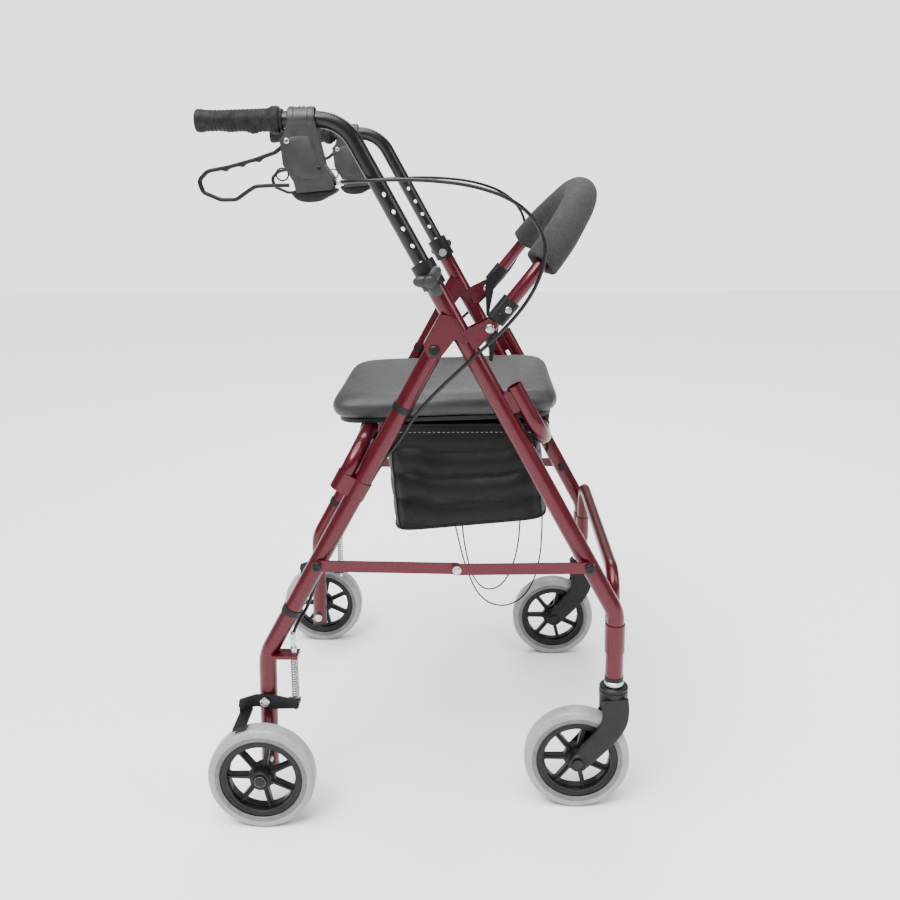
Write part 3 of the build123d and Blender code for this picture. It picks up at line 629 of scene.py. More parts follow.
wheel = {
    "tread": [(-10.4, 61.5), (-12.8, 62.0), (-13.5, 67.0), (-13.4, 72.0), (-10.5, 75.8), (-4.5, 76.2),
              (4.5, 76.2), (10.5, 75.8), (13.4, 72.0), (13.5, 67.0), (12.8, 62.0), (10.4, 61.5)],
    "bead": [(11.5, 58.5), (13.6, 59.2), (14.0, 62.0), (13.9, 65.2), (12.6, 66.0), (11.5, 64.0)],
    "rimEdge": [(9.0, 51.5), (10.9, 52.0), (11.6, 54.5), (11.4, 59.5), (9.5, 60.0), (8.0, 56.0)],
    "spokes": 7,
    "hubFace": 14.5,         # from the wheel's middle plane
    "rib": {"from": 13.0, "to": 51.0, "width": 3.2, "rise": 2.6, "web": 4.5},
    "cap": [(0.0, 13.6), (1.2, 13.6), (1.9, 12.8), (1.9, 10.4), (0.9, 9.8), (0.9, 9.0), (3.4, 8.6),
            (4.4, 7.4),
            (4.9, 4.5), (5.0, 0.0)],
}


def mirrored(profile):
    return [(-along, radius) for along, radius in profile]


def spokeRibs(centre, face):
    # a tapered ridge along each spoke, turned about the hub to every spoke
    rib = wheel["rib"]
    reach = np.linspace(rib["from"], rib["to"], 12)
    taper = 1 + 0.5 * ((reach - reach.mean()) / 19) ** 2
    section = squareProfile(1, 1, 3.0, 12)
    width = section[None, :, 0] * (rib["width"] * taper)[:, None]
    rise = section[None, :, 1] * rib["rise"] * 2 + face * rib["web"]
    grids = []
    for spoke in range(wheel["spokes"]):
        angle = 2 * math.pi * (spoke + 0.5) / wheel["spokes"]
        out = np.array([math.cos(angle), 0, math.sin(angle)])
        around = np.array([-math.sin(angle), 0, math.cos(angle)])
        grid = reach[:, None, None] * out + width[...,
                                                  None] * around + rise[..., None] * np.array([0, 1.0, 0])
        grids.append(grid + centre)
    return grids


def makeWheels():
    for end in ("front", "rear"):
        for name, side in sides.items():
            centre = pivot(f"{end}_wheel_spin_{name}")
            body = f"{end}_wheel_{name}"
            tread = softened(wheel["tread"], 2, closed=True)
            tyre = addSurface(f"tyre.{end}.{name}", turned(tread, centre, (0, 1, 0), 112), tyrePolyurethane,
                              body,
                              closeRows=True)
            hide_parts(f"tyre_{end}_{name}")
            beads = [softened(section, 2,
                              closed=True) for section in (wheel["bead"], mirrored(wheel["bead"]))]
            addSurfaces(f"tyreBead.{end}.{name}", [turned(section, centre, (0, 1, 0),
                                                          96) for section in beads],
                        beadPolyurethane, body, closeRows=True)
            edges = [softened(section, 2,
                              closed=True) for section in (wheel["rimEdge"], mirrored(wheel["rimEdge"]))]
            addSurfaces(f"rimEdge.{end}.{name}", [turned(section, centre, (0, 1, 0),
                                                         96) for section in edges],
                        mouldedNylon, body, closeRows=True)
            addSurfaces(f"spokeRibs.{end}.{name}", spokeRibs(centre, 1) + spokeRibs(centre, -1),
                        mouldedNylon, body)
            if end == "rear":
                outer = centre + np.array([0, side * wheel["hubFace"], 0])
                addSurface(f"hubCap.{name}", turned(wheel["cap"], outer, (0, side, 0), 48), mouldedNylon,
                           body)


# Caster forks

caster = {
    "crown": [(154, 0), (154, 17.5), (155.5, 19.6), (158, 20.4), (183.0, 20.4), (183.6, 19.4), (184.6, 19.4),
              (185.2, 20.6), (188.2, 20.6), (190.0, 19.0), (190.4, 15.0), (188.8, 13.2), (188.6, 0)],
    "armLine": [(277.0, 176), (278.5, 158), (278.0, 142), (269.0, 124), (252.0, 104), (238.0, 88),
                (226.5, 76.2)],
    "armWidth": [38, 38.5, 37, 34, 31.5, 29, 27],
    "gap": 15.3,             # from the caster's plane to an arm's inner face
    "thick": 5.6,
    "collar": [(191.2, 0), (191.2, 13.4), (192, 14.2), (197.5, 14.2), (198.5, 13.2), (203.6, 13.0),
               (203.6, 0)],
}


def makeCasters():
    stem = pivot("caster_swivel_right")[0]
    line = softened(caster["armLine"], 3)
    along = np.linspace(0, 1, len(line))
    width = np.interp(along, np.linspace(0, 1, len(caster["armWidth"])), caster["armWidth"])
    section = squareProfile(1, caster["thick"], 5.0, 28)
    for name, side in sides.items():
        y = side * layout["sideY"]
        crown = addSurface(f"forkCrown.{name}", turned(caster["crown"], (stem, y, 0), (0, 0, 1), 64),
                           mouldedNylon,
                           f"caster_{name}")
        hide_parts(f"caster_fork_{name}")
        arms, bosses = [], []
        for face in (-1, 1):
            plane = y + face * (caster["gap"] + caster["thick"] / 2)
            path = np.stack([line[:, 0], np.full(len(line), plane), line[:, 1]], axis=1)
            profile = np.repeat(section[None], len(path),
                                axis=0) * np.stack([width, np.ones_like(width)], 1)[:, None]
            arms.append(carried(path, profile, (0, 1, 0)))
            hub = (path[-1, 0], y + face * caster["gap"], path[-1, 2])
            boss = [(0.2, 0), (0.2, 13.2), (5.4, 13.2), (6.6, 12.2), (6.6, 9.4), (5.8, 8.6), (5.8, 0)]
            bosses.append(turned(boss, hub, (0, face, 0), 40))
        addSurfaces(f"forkArms.{name}", arms, mouldedNylon, f"caster_{name}")
        addSurfaces(f"forkBosses.{name}", bosses, mouldedNylon, f"caster_{name}")
        addSurface(f"stemCollar.{name}", turned(caster["collar"], (stem, y, 0), (0, 0, 1), 48), zincPlate,
                   "front_frame")


# Handles

grip = {
    "rear": -279.0,
    "front": -166.0,
    "height": 982.0,
    "shape": [(0, 9.0), (0.3, 13.2), (2.0, 14.8), (7.0, 15.1), (13.0, 13.8), (30.0, 13.3), (58.0, 14.0),
              (84.0, 14.6),
              (94.0, 14.9), (99.0, 17.6), (104.0, 18.2), (108.0,
                                                          17.2), (110.0,
                                                                  14.4), (113.0, 14.0), (113.0, 11.2)],
    "ribPitch": 5.2,
    "ribDepth": 0.32,
}
lever = {
    "loop": [(-160, 955), (-178, 941), (-205, 932), (-240, 923), (-268, 918), (-280, 906), (-275, 891),
             (-252, 881), (-232, 881), (-216, 892), (-206, 898), (-186, 899), (-162, 899)],
    "bends": [8, 20, 20, 14, 9, 9, 14, 12, 12, 12, 12],
    "thick": 5.2,
    "deep": 9.5,
    "fingerRests": (-200.0, -222.0, -244.0),
    "ring": {"centre": (-170.0, 913.0), "radius": 8.0, "wire": 1.1},
}
housing = {
    "cap": [(-159, 0), (-159, 14.5), (-157.5, 16.6), (-151, 17.0), (-150, 16.2), (-133, 16.2), (-132, 17.0),
            (-125.5, 16.6), (-124, 14.5), (-124, 0)],
    "cover": [(-160, 894), (-110, 894), (-99, 896), (-97, 890), (-112, 883), (-122, 877), (-144, 877),
              (-154, 883)],
    "panel": [(-160, 960), (-128, 962), (-125, 948), (-120, 926), (-110, 908), (-148, 906), (-160, 926),
              (-164, 950)],
    "ferrule": [(0, 3.4), (0.4, 4.1), (4.0, 4.1), (4.6, 3.3), (11.0, 3.3), (11.6, 2.9), (17.0, 2.9),
                (17.6, 2.55)],
}
knob = {"core": 9.5, "reach": 13.5, "point": 1.25, "turn": 60.0,
        "rows": [(0.0, 0.0), (0.0, 0.86), (1.4, 0.98), (6.5, 1.0), (9.5, 0.94), (11.4, 0.72), (12.0, 0.5),
                 (12.0, 0.46), (15.6, 0.42), (16.6, 0.34), (16.8, 0.0)]}


def slab(outline, y, thick, edge=1.8, cuts=2):
    # an outline thickened along Y, its two faces drawn in a little so that the edges are round
    outline = softened(outline, cuts, closed=True)
    centre = outline.mean(axis=0)
    inward = unit(centre - outline) * edge
    layers = [(-0.5, 1.0), (-0.5 + 0.3 * edge / thick, 0.3), (-0.5 + edge / thick, 0.0),
              (0.5 - edge / thick, 0.0),
              (0.5 - 0.3 * edge / thick, 0.3), (0.5, 1.0)]
    rows = []
    for level, draw in layers:
        ring = outline + inward * draw
        rows.append(np.stack([ring[:, 0], np.full(len(ring), y + level * thick), ring[:, 1]], axis=1))
    return np.array(rows)


def gripSurface(y):
    # radius along the grip from its turned shape, waved by ribs, with two finger swells underneath
    shape = np.array(grip["shape"])
    along = np.unique(np.concatenate([shape[:, 0], np.linspace(0.3, 112.9, 150)]))
    radius = np.interp(along, shape[:, 0], shape[:, 1])
    radius[0] = 0.0
    ribbed = np.clip((along - 16) / 6, 0, 1) * np.clip((92 - along) / 5, 0, 1)
    radius = radius + ribbed * grip["ribDepth"] * np.cos(2 * np.pi * along / grip["ribPitch"])
    angle = np.linspace(0, 2 * np.pi, 56, endpoint=False)
    below = np.clip(-np.sin(angle), 0, 1) ** 2
    swell = 3.2 * np.exp(-((along - 74) / 7) ** 2) + 1.4 * np.exp(-((along - 45) / 9) ** 2)
    full = radius[:, None] + swell[:, None] * below[None]
    ring = np.stack([np.zeros_like(angle), np.cos(angle), np.sin(angle)], axis=1)
    return full[..., None] * ring[None] + np.stack(
        [grip["rear"] + along, np.full_like(along, y), np.full_like(along, grip["height"])], axis=1)[:, None]


def leverSurface(y):
    # a flat strip carried round the loop, with three finger rests standing in from its upper run
    loop = [(x, y, z) for x, z in lever["loop"]]
    path = filletPath(loop, lever["bends"], 2.0)
    rests = np.zeros(len(path))
    for place in lever["fingerRests"]:
        rests += 2.6 * np.exp(-((path[:, 0] - place) / 3.6) ** 2) * (path[:, 2] > 915)
    section = squareProfile(lever["thick"], lever["deep"], 3.0, 24)
    profile = np.repeat(section[None], len(path), axis=0)
    profile[..., 0] += np.clip(section[None, :, 0], 0, None) / lever["thick"] * 2 * rests[:, None]
    return carried(path, profile, (0, 1, 0))


def knobSurface(centre, side):
    # three pointed wings with hollow sides: the radius follows a power of a cosine of three times the angle
    angle = np.linspace(0, 2 * np.pi, 96, endpoint=False)
    wing = ((1 + np.cos(3 * (angle - math.radians(knob["turn"])))) / 2) ** knob["point"]
    rows = np.array(knob["rows"])
    lobed = knob["core"] + knob["reach"] * wing[None]
    plain = knob["core"] * np.ones_like(lobed)
    onBoss = (rows[:, 0] > 12.0)[:, None] | (rows[:, 1] < 0.51)[:, None]
    radius = np.where(onBoss, plain * 2.0, lobed) * rows[:, 1:]
    grid = np.stack([radius * np.cos(angle), np.zeros_like(radius), radius * np.sin(angle)], axis=-1)
    grid[..., 1] = rows[:, :1] * side
    return grid + np.array(centre)


def ringSurface(centre, radius, wire, axis=(0, 1, 0), around=40):
    section = [(wire * math.cos(a),
                radius + wire * math.sin(a)) for a in np.linspace(0, 2 * np.pi, 12, endpoint=False)]
    return turned(section, centre, axis, around)


def makeHandles():
    for name, side in sides.items():
        y = side * layout["sideY"]
        body = f"handle_{name}"
        rubber = addSurface(f"grip.{name}", gripSurface(y), gripRubber, body, caps=False, sharp=60)
        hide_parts(f"grip_{name}")
        loop = addSurface(f"brakeLever.{name}", leverSurface(y), mouldedNylon, f"brake_lever_{name}")
        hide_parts(f"brake_lever_{name}")
        boss = [(-4.3, 0), (-4.3, 7.2), (4.3, 7.2), (4.3, 0)]
        addSurface(f"leverBoss.{name}", turned(boss, (-160, y, 955), (0, 1, 0), 32), mouldedNylon,
                   f"brake_lever_{name}")
        ring = lever["ring"]
        addSurface(f"parkRing.{name}", ringSurface((ring["centre"][0], y, ring["centre"][1]),
                                                   ring["radius"], ring["wire"]),
                   mouldedNylon, body, closeRows=True)
        addSurface(f"clampCap.{name}", turned(housing["cap"], (0, y, grip["height"]),
                                              (1, 0, 0), 48), slateNylon, body)
        addSurface(f"coverPlate.{name}", slab(housing["cover"], y, 25.0), mouldedNylon, body)
        panels = [slab(housing["panel"], y + face * 14.4, 2.4, 0.9) for face in (-1, 1)]
        addSurfaces(f"housingPanels.{name}", panels, slateNylon, body)
        screws = [boltHead((-119, y + face * 15.4, 920), (0, face, 0), 2.8, 1.2) for face in (-1, 1)]
        pins = [boltHead((-160, y + face * 15.0, 955), (0, face, 0), 3.6, 1.6) for face in (-1, 1)]
        addSurfaces(f"leverPin.{name}", pins, zincPlate, body)
        addSurfaces(f"housingScrews.{name}", screws, blackSteel, body)
        addSurface(f"clampScrew.{name}", boltHead((-141, y, grip["height"] + 15.6), (0, 0, 1), 4.2, 2.4),
                   zincPlate, body)
        addSurface(f"cableFerrule.{name}", turned(housing["ferrule"], (-103.0, y, 902.7), (1, 0, 0), 24),
                   zincPlate, body)
        place = pivot(f"knob_turn_{name}") + np.array([0, side * 17.0, 0])
        turnKnob = addSurface(f"heightKnob.{name}", knobSurface(place, side), slateNylon, f"knob_{name}")
        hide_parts(f"knob_{name}")


# Bolts

def boltHead(centre, outward, radius, height):
    # domed button head with a six-sided socket
    rows = [(0, 0), (0, radius), (0.45 * height, radius), (0.8 * height, 0.86 * radius),
            (height, 0.6 * radius),
            (height, 0.5 * radius), (0.4 * height, 0.5 * radius), (0.4 * height, 0.0)]
    grid = turned(rows, (0, 0, 0), outward, 36)
    angle = np.linspace(0, 2 * np.pi, 36, endpoint=False)
    sixSided = math.cos(math.pi / 6) / np.cos(np.mod(angle, math.pi / 3) - math.pi / 6)
    way = unit(np.array(outward, float))
    deep = grid @ way
    socket = grid[5:7] - deep[5:7, :, None] * way
    grid[5:7] = socket * sixSided[None, :, None] + deep[5:7, :, None] * way
    return grid + np.array(centre)


bolts = {
    "fold": {"joint": "frame_fold", "outer": 251.4, "inner": 212.6, "radius": 7.4, "height": 2.2},
    "spreaderFront": {"joint": "front_spreader_fold", "outer": 256.6, "inner": 215.9, "radius": 6.9,
                      "height": 2.0},
    "spreaderRear": {"joint": "rear_spreader_fold", "outer": 253.0, "inner": 215.9, "radius": 6.9,
                     "height": 2.0},
    "backrest": {"joint": "backrest_swing", "outer": 247.6, "inner": 216.4, "radius": 5.9, "height": 1.8},
}


def makeBolts():
    for name, bolt in bolts.items():
        body = "rear_frame" if name == "spreaderRear" else "front_frame"
        finish = zincPlate if name == "backrest" else blackSteel
        heads = []
        for side in sides.values():
            centre = pivot(bolt["joint"])
            for level, face in ((bolt["outer"], side), (bolt["inner"], -side)):
                heads.append(boltHead((centre[0], side * level, centre[2]), (0, face, 0), bolt["radius"],
                                      bolt["height"]))
        addSurfaces(f"boltHeads.{name}", heads, finish, body)
    rivets = [boltHead((53.5, side * 255.3, 373.5), (0, side, 0), 4.4, 1.4) for side in sides.values()]
    addSurfaces("centreRivets", rivets, zincPlate, "front_spreaders")
    for name, side in sides.items():
        brake = pivot(f"brake_arm_pivot_{name}")
        addSurface(f"brakeBolt.{name}", boltHead((brake[0], side * 252.8, brake[2]), (0, side, 0), 6.8,
                                                 2.0), zincPlate,
                   "rear_frame")
        plug = [(56.5, 0), (56.5, 11.0), (57.5, 13.2), (61.0, 13.2), (61.0, 0)]
        addSurface(f"legPlug.{name}", turned(plug, (-225, side * layout["sideY"], 0), (0, 0, 1), 40),
                   mouldedNylon,
                   "rear_frame")


# Brake springs and wires

spring = {"x": -182.0, "y": 238.0, "low": 167.0, "high": 234.0, "radius": 4.6, "wire": 0.95, "turns": 17}


def makeSprings():
    # a coil whose radius stays the same while it climbs at an even pitch
    for name, side in sides.items():
        turn = np.linspace(0, 2 * np.pi * spring["turns"], spring["turns"] * 22)
        climb = np.linspace(spring["low"] + 1, spring["high"] - 1, len(turn))
        path = np.stack([spring["x"] + spring["radius"] * np.cos(turn),
                         side * spring["y"] + spring["radius"] * np.sin(turn), climb], axis=1)
        coil = addSurface(f"returnSpring.{name}", carried(path, roundProfile(spring["wire"], 8), (0, 0, 1)),
                          zincPlate,
                          "rear_frame")
        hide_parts(f"return_spring_{name}")
        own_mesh(coil)
        wire = [(150, 0), (150, cable["wireRadius"]), (264, cable["wireRadius"]), (264, 0)]
        addSurface(f"brakeWire.{name}", turned(wire, (spring["x"], side * spring["y"], 0), (0, 0, 1), 12),
                   zincPlate,
                   "rear_frame")
        nipple = [(152, 0), (152, 2.6), (153, 3.2), (160, 3.2), (161, 2.6), (161, 0)]
        addSurface(f"wireNipple.{name}", turned(nipple, (spring["x"], side * spring["y"], 0), (0, 0, 1),
                                                20), zincPlate,
                   f"brake_arm_{name}")
        sleeve = [(262.2, 0), (262.2, 3.4), (263, 3.8), (272, 3.6), (273, 2.8), (273, 0)]
        addSurface(f"cableEnd.{name}", turned(sleeve, (spring["x"], side * spring["y"], 0), (0, 0, 1), 24),
                   zincPlate,
                   "rear_frame")


# Backrest

backrest = {"radius": 23.5, "from": 104.0, "corner": 3.5, "bends": [105.0, 280.0, 280.0, 105.0],
            "points": [(2, 1), (135, 1), (221, 77 / 232)]}


def makeBackrest():
    # foam sleeve carried round the bow, its ends rounded over a few millimetres
    half = [onLean(along, 0, -layout["sideY"] * share) for along, share in backrest["points"]]
    points = half + [np.array([p[0], -p[1], p[2]]) for p in reversed(half)]
    path = filletPath(points, backrest["bends"], 3.0)
    base = pivot("backrest_swing")
    lift = (path[:, 0] - base[0]) * math.sin(backTurn) + (path[:, 2] - base[2]) * math.cos(backTurn)
    path = path[lift > backrest["from"]]
    fine = np.concatenate([np.linspace(0, 1, 6)[:-1] * 2, np.arange(2, len(path) - 2),
                           len(path) - 3 + np.linspace(0, 1, 6) * 2])
    place = np.arange(len(path))
    path = np.stack([np.interp(fine, place, path[:, k]) for k in range(3)], axis=1)
    travel = np.concatenate([[0], np.cumsum(np.linalg.norm(np.diff(path, axis=0), axis=1))])
    fromEnd = np.minimum(travel, travel[-1] - travel)
    curl = np.clip(1 - fromEnd / backrest["corner"], 0, 1)
    radius = backrest["radius"] - backrest["corner"] * (1 - np.sqrt(1 - curl ** 2))
    dent = 0.12 * np.sin(travel / 17.0) + 0.08 * np.sin(travel / 7.3 + 1)
    section = roundProfile(1.0, 48)
    profile = section[None] * (radius + dent * (curl == 0))[:, None, None]
    rings = carried(path, profile, (math.cos(backTurn), 0, -math.sin(backTurn)))
    inner = carried(path[[0, -1]], section * (layout["backRadius"] + 0.6),
                    (math.cos(backTurn), 0, -math.sin(backTurn)))
    rings = np.concatenate([inner[:1], rings, inner[1:]])
    pad = addSurface("backrestPad", rings, skinnedFoam, "backrest", sharp=50)
    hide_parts("backrest_pad")
    for name, side in sides.items():
        face = side * (layout["sideY"] + 13.6)
        addSurface(f"snapButton.{name}", boltHead(onLean(34, 3, face), (0, side, 0), 4.6, 2.6), zincPlate,
                   "backrest")
        addSurface(f"sleeveScrew.{name}", boltHead(onLean(22, 0, face), (0, side, 0), 3.4, 1.8), blackSteel,
                   "backrest")


# Seat

seat = {"length": 346.0, "width": 322.0, "thick": 30.0, "crown": 6.0, "corner": 8.0, "voxel": 5.0,
        "pressure": 4.0,
        "plump": 4.0, "sidePull": 0.012}


def onSeat(points):
    # seat coordinates (along, across, up) turned to the seat's slope
    turn = math.radians(layout["seatTilt"])
    along, up = points[..., 0], points[..., 2]
    x = layout["seatCentre"][0] + along * math.cos(turn) - up * math.sin(turn)
    z = layout["seatCentre"][2] + along * math.sin(turn) + up * math.cos(turn)
    return np.stack([x, points[..., 1], z], axis=-1)


def seatOutline(scale, power, around=120):
    # rounded rectangle whose sides pull in a little between the corners
    angle = np.linspace(0, 2 * np.pi, around, endpoint=False)
    bend = 2 / power
    x = np.sign(np.cos(angle)) * np.abs(np.cos(angle)) ** bend
    y = np.sign(np.sin(angle)) * np.abs(np.sin(angle)) ** bend
    pull = 1 - seat["sidePull"] * np.cos(2 * angle) ** 2
    return np.stack([x * pull * seat["length"] / 2, y * pull * seat["width"] / 2], axis=1) * scale


def cushionRings(shrink):
    # rings from the middle of the top over the rounded edge to the middle of the underside
    scales = np.concatenate([np.linspace(0, 0.9, 12), 0.9 + 0.1 * np.sin(np.linspace(0.1, 1, 9) * np.pi / 2)])
    halfThick = seat["thick"] / 2
    edge = np.clip((scales - 0.88) / 0.12, 0, 1)
    top = halfThick * (1 + np.sqrt(np.clip(1 - edge ** 2.4, 0, 1))) + seat["crown"] * (1 - scales ** 2)
    low = halfThick * (1 - np.sqrt(np.clip(1 - edge ** 4, 0, 1)))
    rings = []
    for scale, height in list(zip(scales, top)) + list(zip(scales[::-1], low[::-1]))[1:]:
        outline = seatOutline(scale * shrink, seat["corner"])
        rings.append(np.column_stack([outline, np.full(len(outline), height)]))
    return onSeat(np.array(rings))


def vertexPlaces(mesh):
    places = np.zeros(len(mesh.vertices) * 3)
    mesh.vertices.foreach_get("co", places)
    return places.reshape(-1, 3)


def applied(piece):
    # the piece's mesh with its modifiers made real
    bpy.context.view_layer.update()
    mesh = bpy.data.meshes.new_from_object(piece.evaluated_get(bpy.context.evaluated_depsgraph_get()))
    piece.modifiers.clear()
    piece.data = mesh
    return mesh


def puffUp(piece):
    # the cover swells under its filling: cloth under pressure, no point moving further than the plump limit
    remesh = piece.modifiers.new("remesh", "REMESH")
    remesh.mode = "VOXEL"
    remesh.voxel_size = seat["voxel"] / 1000
    mesh = applied(piece)
    start = vertexPlaces(mesh)
    cloth = piece.modifiers.new("cloth", "CLOTH")
    cloth.settings.use_pressure = True
    cloth.settings.uniform_pressure_force = seat["pressure"]
    cloth.settings.effector_weights.gravity = 0
    cloth.point_cache.frame_end = 20
    for step in range(1, 21):
        bpy.context.scene.frame_set(step)
    swollen = applied(piece)
    bpy.context.scene.frame_set(1)
    move = vertexPlaces(swollen) - start
    reach = np.linalg.norm(move, axis=1, keepdims=True)
    limit = seat["plump"] / 1000
    places = start + move * np.minimum(1, limit / np.maximum(reach, 1e-9))
    swollen.vertices.foreach_set("co", places.ravel())
    return swollen


def makeSeat():
    cushion = addSurface("seatCushion", cushionRings(1.0), seatVinyl, None, caps=False)
    puffUp(cushion)
    mesh = cushion.data
    places = vertexPlaces(mesh) * 1000
    turn = math.radians(layout["seatTilt"])
    ahead, above = places[:, 0] - layout["seatCentre"][0], places[:, 2] - layout["seatCentre"][2]
    up = above * math.cos(turn) - ahead * math.sin(turn)
    sunk = np.clip(0.3 - up, 0, None)        # the underside stays flat on its board
    places[:, 0] -= sunk * math.sin(turn)
    places[:, 2] += sunk * math.cos(turn)
    mesh.vertices.foreach_set("co", (places / 1000).ravel())
    mesh.update()
    mesh.materials.clear()
    mesh.materials.append(seatVinyl)
    mesh.shade_smooth()
    smooth = cushion.modifiers.new("smooth", "SUBSURF")
    smooth.levels = smooth.render_levels = 1
    applied(cushion)
    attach(cushion, "seat")
    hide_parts("seat_pad")


# Pouch

pouch = {
    "top": 552.0,
    "rearTop": -55.0, "rearFoot": -43.0, "frontTop": 172.0, "frontFoot": 186.0,
    "footRear": 388.0, "footFront": 409.0,
    "halfWidth": 147.0,
    "foldPitch": 40.0,
    "foldDepth": 9.0,
    "gatherX": 52.0,
    "wall": 1.4,
}


def pouchPoint(u, v):
    # u runs round the bag and v from the mouth down; the plan is a rounded rectangle whose panels
    # sag outwards, creased in level folds, and gathered where the drawcords leave
    cosine, sine = np.cos(u), np.sin(u)
    sx = np.sign(cosine) * np.abs(cosine) ** 0.22
    sy = np.sign(sine) * np.abs(sine) ** 0.22
    rear = pouch["rearTop"] + (pouch["rearFoot"] - pouch["rearTop"]) * v
    front = pouch["frontTop"] + (pouch["frontFoot"] - pouch["frontTop"]) * v
    x = (front + rear) / 2 + (front - rear) / 2 * sx
    share = (x - pouch["rearFoot"]) / (pouch["frontFoot"] - pouch["rearFoot"])
    foot = pouch["footRear"] + (pouch["footFront"] - pouch["footRear"]) * share
    z = pouch["top"] + (foot - pouch["top"]) * v
    onSide = np.clip(1 - np.abs(sx) ** 6, 0, 1) * (np.abs(sy) > 0.9)
    onEnd = np.clip(1 - np.abs(sy) ** 6, 0, 1) * (np.abs(sx) > 0.9)
    free = np.sin(np.pi * np.clip(v, 0, 1)) ** 0.7
    wander = 5 * np.sin(x / 31.0) + 3 * np.sin(x / 13.0 + np.sign(sy))
    folds = np.abs(np.sin(np.pi * (z - 434 + wander) / pouch["foldPitch"])) ** 0.8
    sideFold = free * (7 * onSide + onSide * pouch["foldDepth"] * (folds - 0.6))
    fromGather = x - pouch["gatherX"]
    gather = np.exp(-(fromGather / 20) ** 2 - ((z - 402) / 20) ** 2) * np.cos(fromGather * 0.75)
    y = sy * (pouch["halfWidth"] - 7) + np.sign(sy) * (sideFold + 2.2 * gather * onSide)
    endWander = 6 * np.sin(y / 37.0) + 2 * np.sin(y / 11.0)
    endFolds = np.abs(np.sin(np.pi * (z - 430 + endWander) / pouch["foldPitch"])) ** 0.8
    x = x + np.sign(sx) * free * onEnd * (2.0 + 3.5 * (endFolds - 0.6))
    return np.stack([x, y, z], axis=-1)


def makePouch():
    u = np.linspace(0, 2 * np.pi, 280, endpoint=False)
    v = np.linspace(0, 1, 72)
    wall = pouchPoint(u[None] + 0 * v[:, None], v[:, None] + 0 * u[None])
    rim = wall[-1]
    middle = rim.mean(axis=0)
    inwards = np.linspace(0, 1, 16)[1:, None, None]
    base = rim[None] * (1 - inwards) + middle * inwards
    crumple = np.sin(base[..., 0] / 9) * np.sin(base[..., 1] / 13)
    base[..., 2] -= 5.0 * np.sin(np.pi / 2 * inwards[..., 0]) + 1.2 * crumple * inwards[..., 0]
    grid = np.concatenate([wall, base])
    bag = addSurface("pouch", grid, coatedNylon, None, caps=False, sharp=70)
    shell = bag.modifiers.new("wall", "SOLIDIFY")
    shell.thickness = pouch["wall"] / 1000
    shell.offset = -1
    applied(bag)
    bag.data.shade_smooth()
    hems = {"mouthHem": (0.0, 2.6), "footPiping": (1.0, 2.0)}
    parts = [bag]
    for name, (level, radius) in hems.items():
        line = pouchPoint(u, np.full_like(u, level))
        parts.append(addSurface(name, carried(line, roundProfile(radius, 12), (0, 0, 1), closed=True),
                                coatedNylon, None,
                                closeRows=True))
    corners = []
    for quarter in range(4):
        angle = np.pi / 4 + quarter * np.pi / 2
        corners.append(carried(pouchPoint(np.full_like(v, angle), v), roundProfile(1.7, 12), (0, 1, 0)))
    parts.append(addSurfaces("cornerPiping", corners, coatedNylon, None))
    stitches = []
    for side in sides.values():
        for x in np.arange(-30, 172, 7.0):
            run = np.linspace(-1, 1, 5)
            path = np.stack([x + 1.9 * run, np.full(5, side * 142.5), np.full(5, 541.0)], axis=1)
            path[:, 1] += side * 1.3 * np.sin(np.pi * (run + 1) / 2)
            stitches.append(carried(path, roundProfile(0.5, 6), (0, 1, 0)))
    parts.append(addSurfaces("hemStitches", stitches, threadPolyester, None))
    for part in parts:
        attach(part, "front_frame")
        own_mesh(part)
    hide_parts("bag")


strap = {"width": 22.0, "thick": 1.4, "places": [-129.0, 129.0]}


def makeStraps():
    # webbing sewn to the bag's mouth and looped over the seat's two tubes
    section = squareProfile(strap["thick"], strap["width"], 6.0, 16)
    loops = {"front": (layout["frontBow"], (182.0, 524.0), "front_frame"),
             "rear": (layout["rearBow"], (-47.0, 524.0), None)}
    for end, (tube, hem, body) in loops.items():
        for y in strap["places"]:
            turn = np.linspace(-0.25, 1.25, 24) * np.pi
            facing = 1 if end == "front" else -1
            arcX = tube[0] + facing * 12.2 * np.cos(turn)
            arcZ = tube[1] + 12.2 * np.sin(turn)
            start = np.array([[hem[0] + facing * 2.4, y, hem[1] - 14], [hem[0] + facing * 2.4, y, hem[1]]])
            arc = np.stack([arcX, np.full_like(arcX, y), arcZ], axis=1)
            close = np.array([[hem[0] + facing * 4.2, y, hem[1] + 2],
                              [hem[0] + facing * 4.2, y, hem[1] - 12]])
            path = softened(np.vstack([start, arc, close]), 1)
            piece = addSurface(f"pouchStrap.{end}.{'left' if y > 0 else 'right'}",
                               carried(path, section, (0, 1, 0)),
                               strapWebbing, body)
            if body is None:
                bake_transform(piece)


makeWheels()
makeCasters()
print("wheels and casters made")
makeHandles()
makeBolts()
makeSprings()
print("handles, bolts and springs made")
makeBackrest()
makeSeat()
makePouch()
makeStraps()
print("seat, backrest and pouch made")


# Camera, floor and lights

view = {
    "place": (0.0835, -1.5207, 0.9139),
    "turn": (78.504, 0.560, 1.553),
    "lens": 38.98,
    "shiftY": -0.0886,
}
lamps = {
    "room": 0.3,
    "backdrop": 2.3,
    "ceiling": {"place": (-0.6, -0.9, 3.0), "wide": 60, "power": 6.5, "aim": (0.0, 0, 0.0)},
    "key": {"place": (-0.9, -1.9, 2.7), "size": 1.3, "power": 60, "aim": (0.05, 0, 0.5)},
    "fill": {"place": (2.3, -0.9, 1.9), "size": 1.2, "power": 25, "aim": (0.05, 0, 0.5)},
    "back": {"place": (0.2, 1.9, 2.5), "size": 1.6, "power": 40, "aim": (0.05, 0, 0.5)},
}


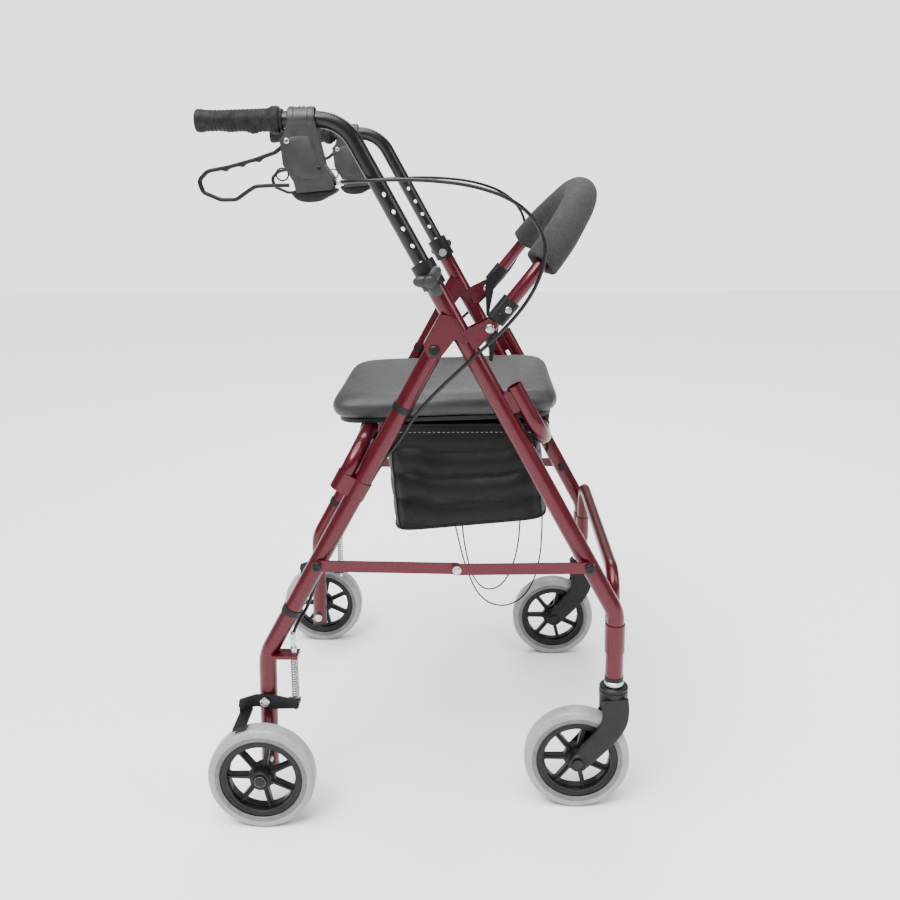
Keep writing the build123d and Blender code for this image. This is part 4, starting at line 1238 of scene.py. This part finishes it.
def makeStage():
    scene = bpy.context.scene
    world = bpy.data.worlds.new("studio")
    world.use_nodes = True
    # the backdrop looks bright, while the room it stands for lights and reflects less
    seen = addNode(world.node_tree, "ShaderNodeLightPath").outputs["Is Camera Ray"]
    strength = addNode(world.node_tree, "ShaderNodeMapRange", {"Value": seen, "To Min": lamps["room"],
                                                               "To Max": lamps["backdrop"]})
    world.node_tree.nodes["Background"].inputs["Color"].default_value = toLinear("#ffffff")
    world.node_tree.links.new(strength.outputs["Result"],
                              world.node_tree.nodes["Background"].inputs["Strength"])
    scene.world = world
    corners = np.array([[(-6, -6, 0), (6, -6, 0)], [(-6, 6, 0), (6, 6, 0)]], float) * 1000
    mesh = bpy.data.meshes.new("floor")
    mesh.from_pydata(corners.reshape(-1, 3) / 1000, [], [(0, 1, 3, 2)])
    paper = bpy.data.materials.new("matteFloor")
    paper.use_nodes = True
    paper.node_tree.nodes["Principled BSDF"].inputs["Base Color"].default_value = toLinear("#f6f6f6")
    paper.node_tree.nodes["Principled BSDF"].inputs["Roughness"].default_value = 0.9
    mesh.materials.append(paper)
    floor = bpy.data.objects.new("floor", mesh)
    scene.collection.objects.link(floor)
    for name in ("ceiling", "key", "fill", "back"):
        lamp = lamps[name]
        light = bpy.data.lights.new(name, "SUN" if "wide" in lamp else "AREA")
        if "wide" in lamp:
            light.angle = math.radians(lamp["wide"])
        else:
            light.shape = "DISK"
            light.size = lamp["size"]
        light.energy = lamp["power"]
        holder = bpy.data.objects.new(name, light)
        holder.location = lamp["place"]
        way = bpy.context.scene.cursor.location.copy()
        way[:] = np.array(lamp["aim"]) - np.array(lamp["place"])
        holder.rotation_euler = way.to_track_quat("-Z", "Y").to_euler()
        scene.collection.objects.link(holder)
    lens = bpy.data.cameras.new("camera")
    lens.lens = view["lens"]
    lens.sensor_width = 36
    lens.shift_y = view["shiftY"]
    camera = bpy.data.objects.new("camera", lens)
    camera.location = view["place"]
    camera.rotation_euler = [math.radians(angle) for angle in view["turn"]]
    scene.collection.objects.link(camera)
    scene.camera = camera


makeStage()
print("stage made")
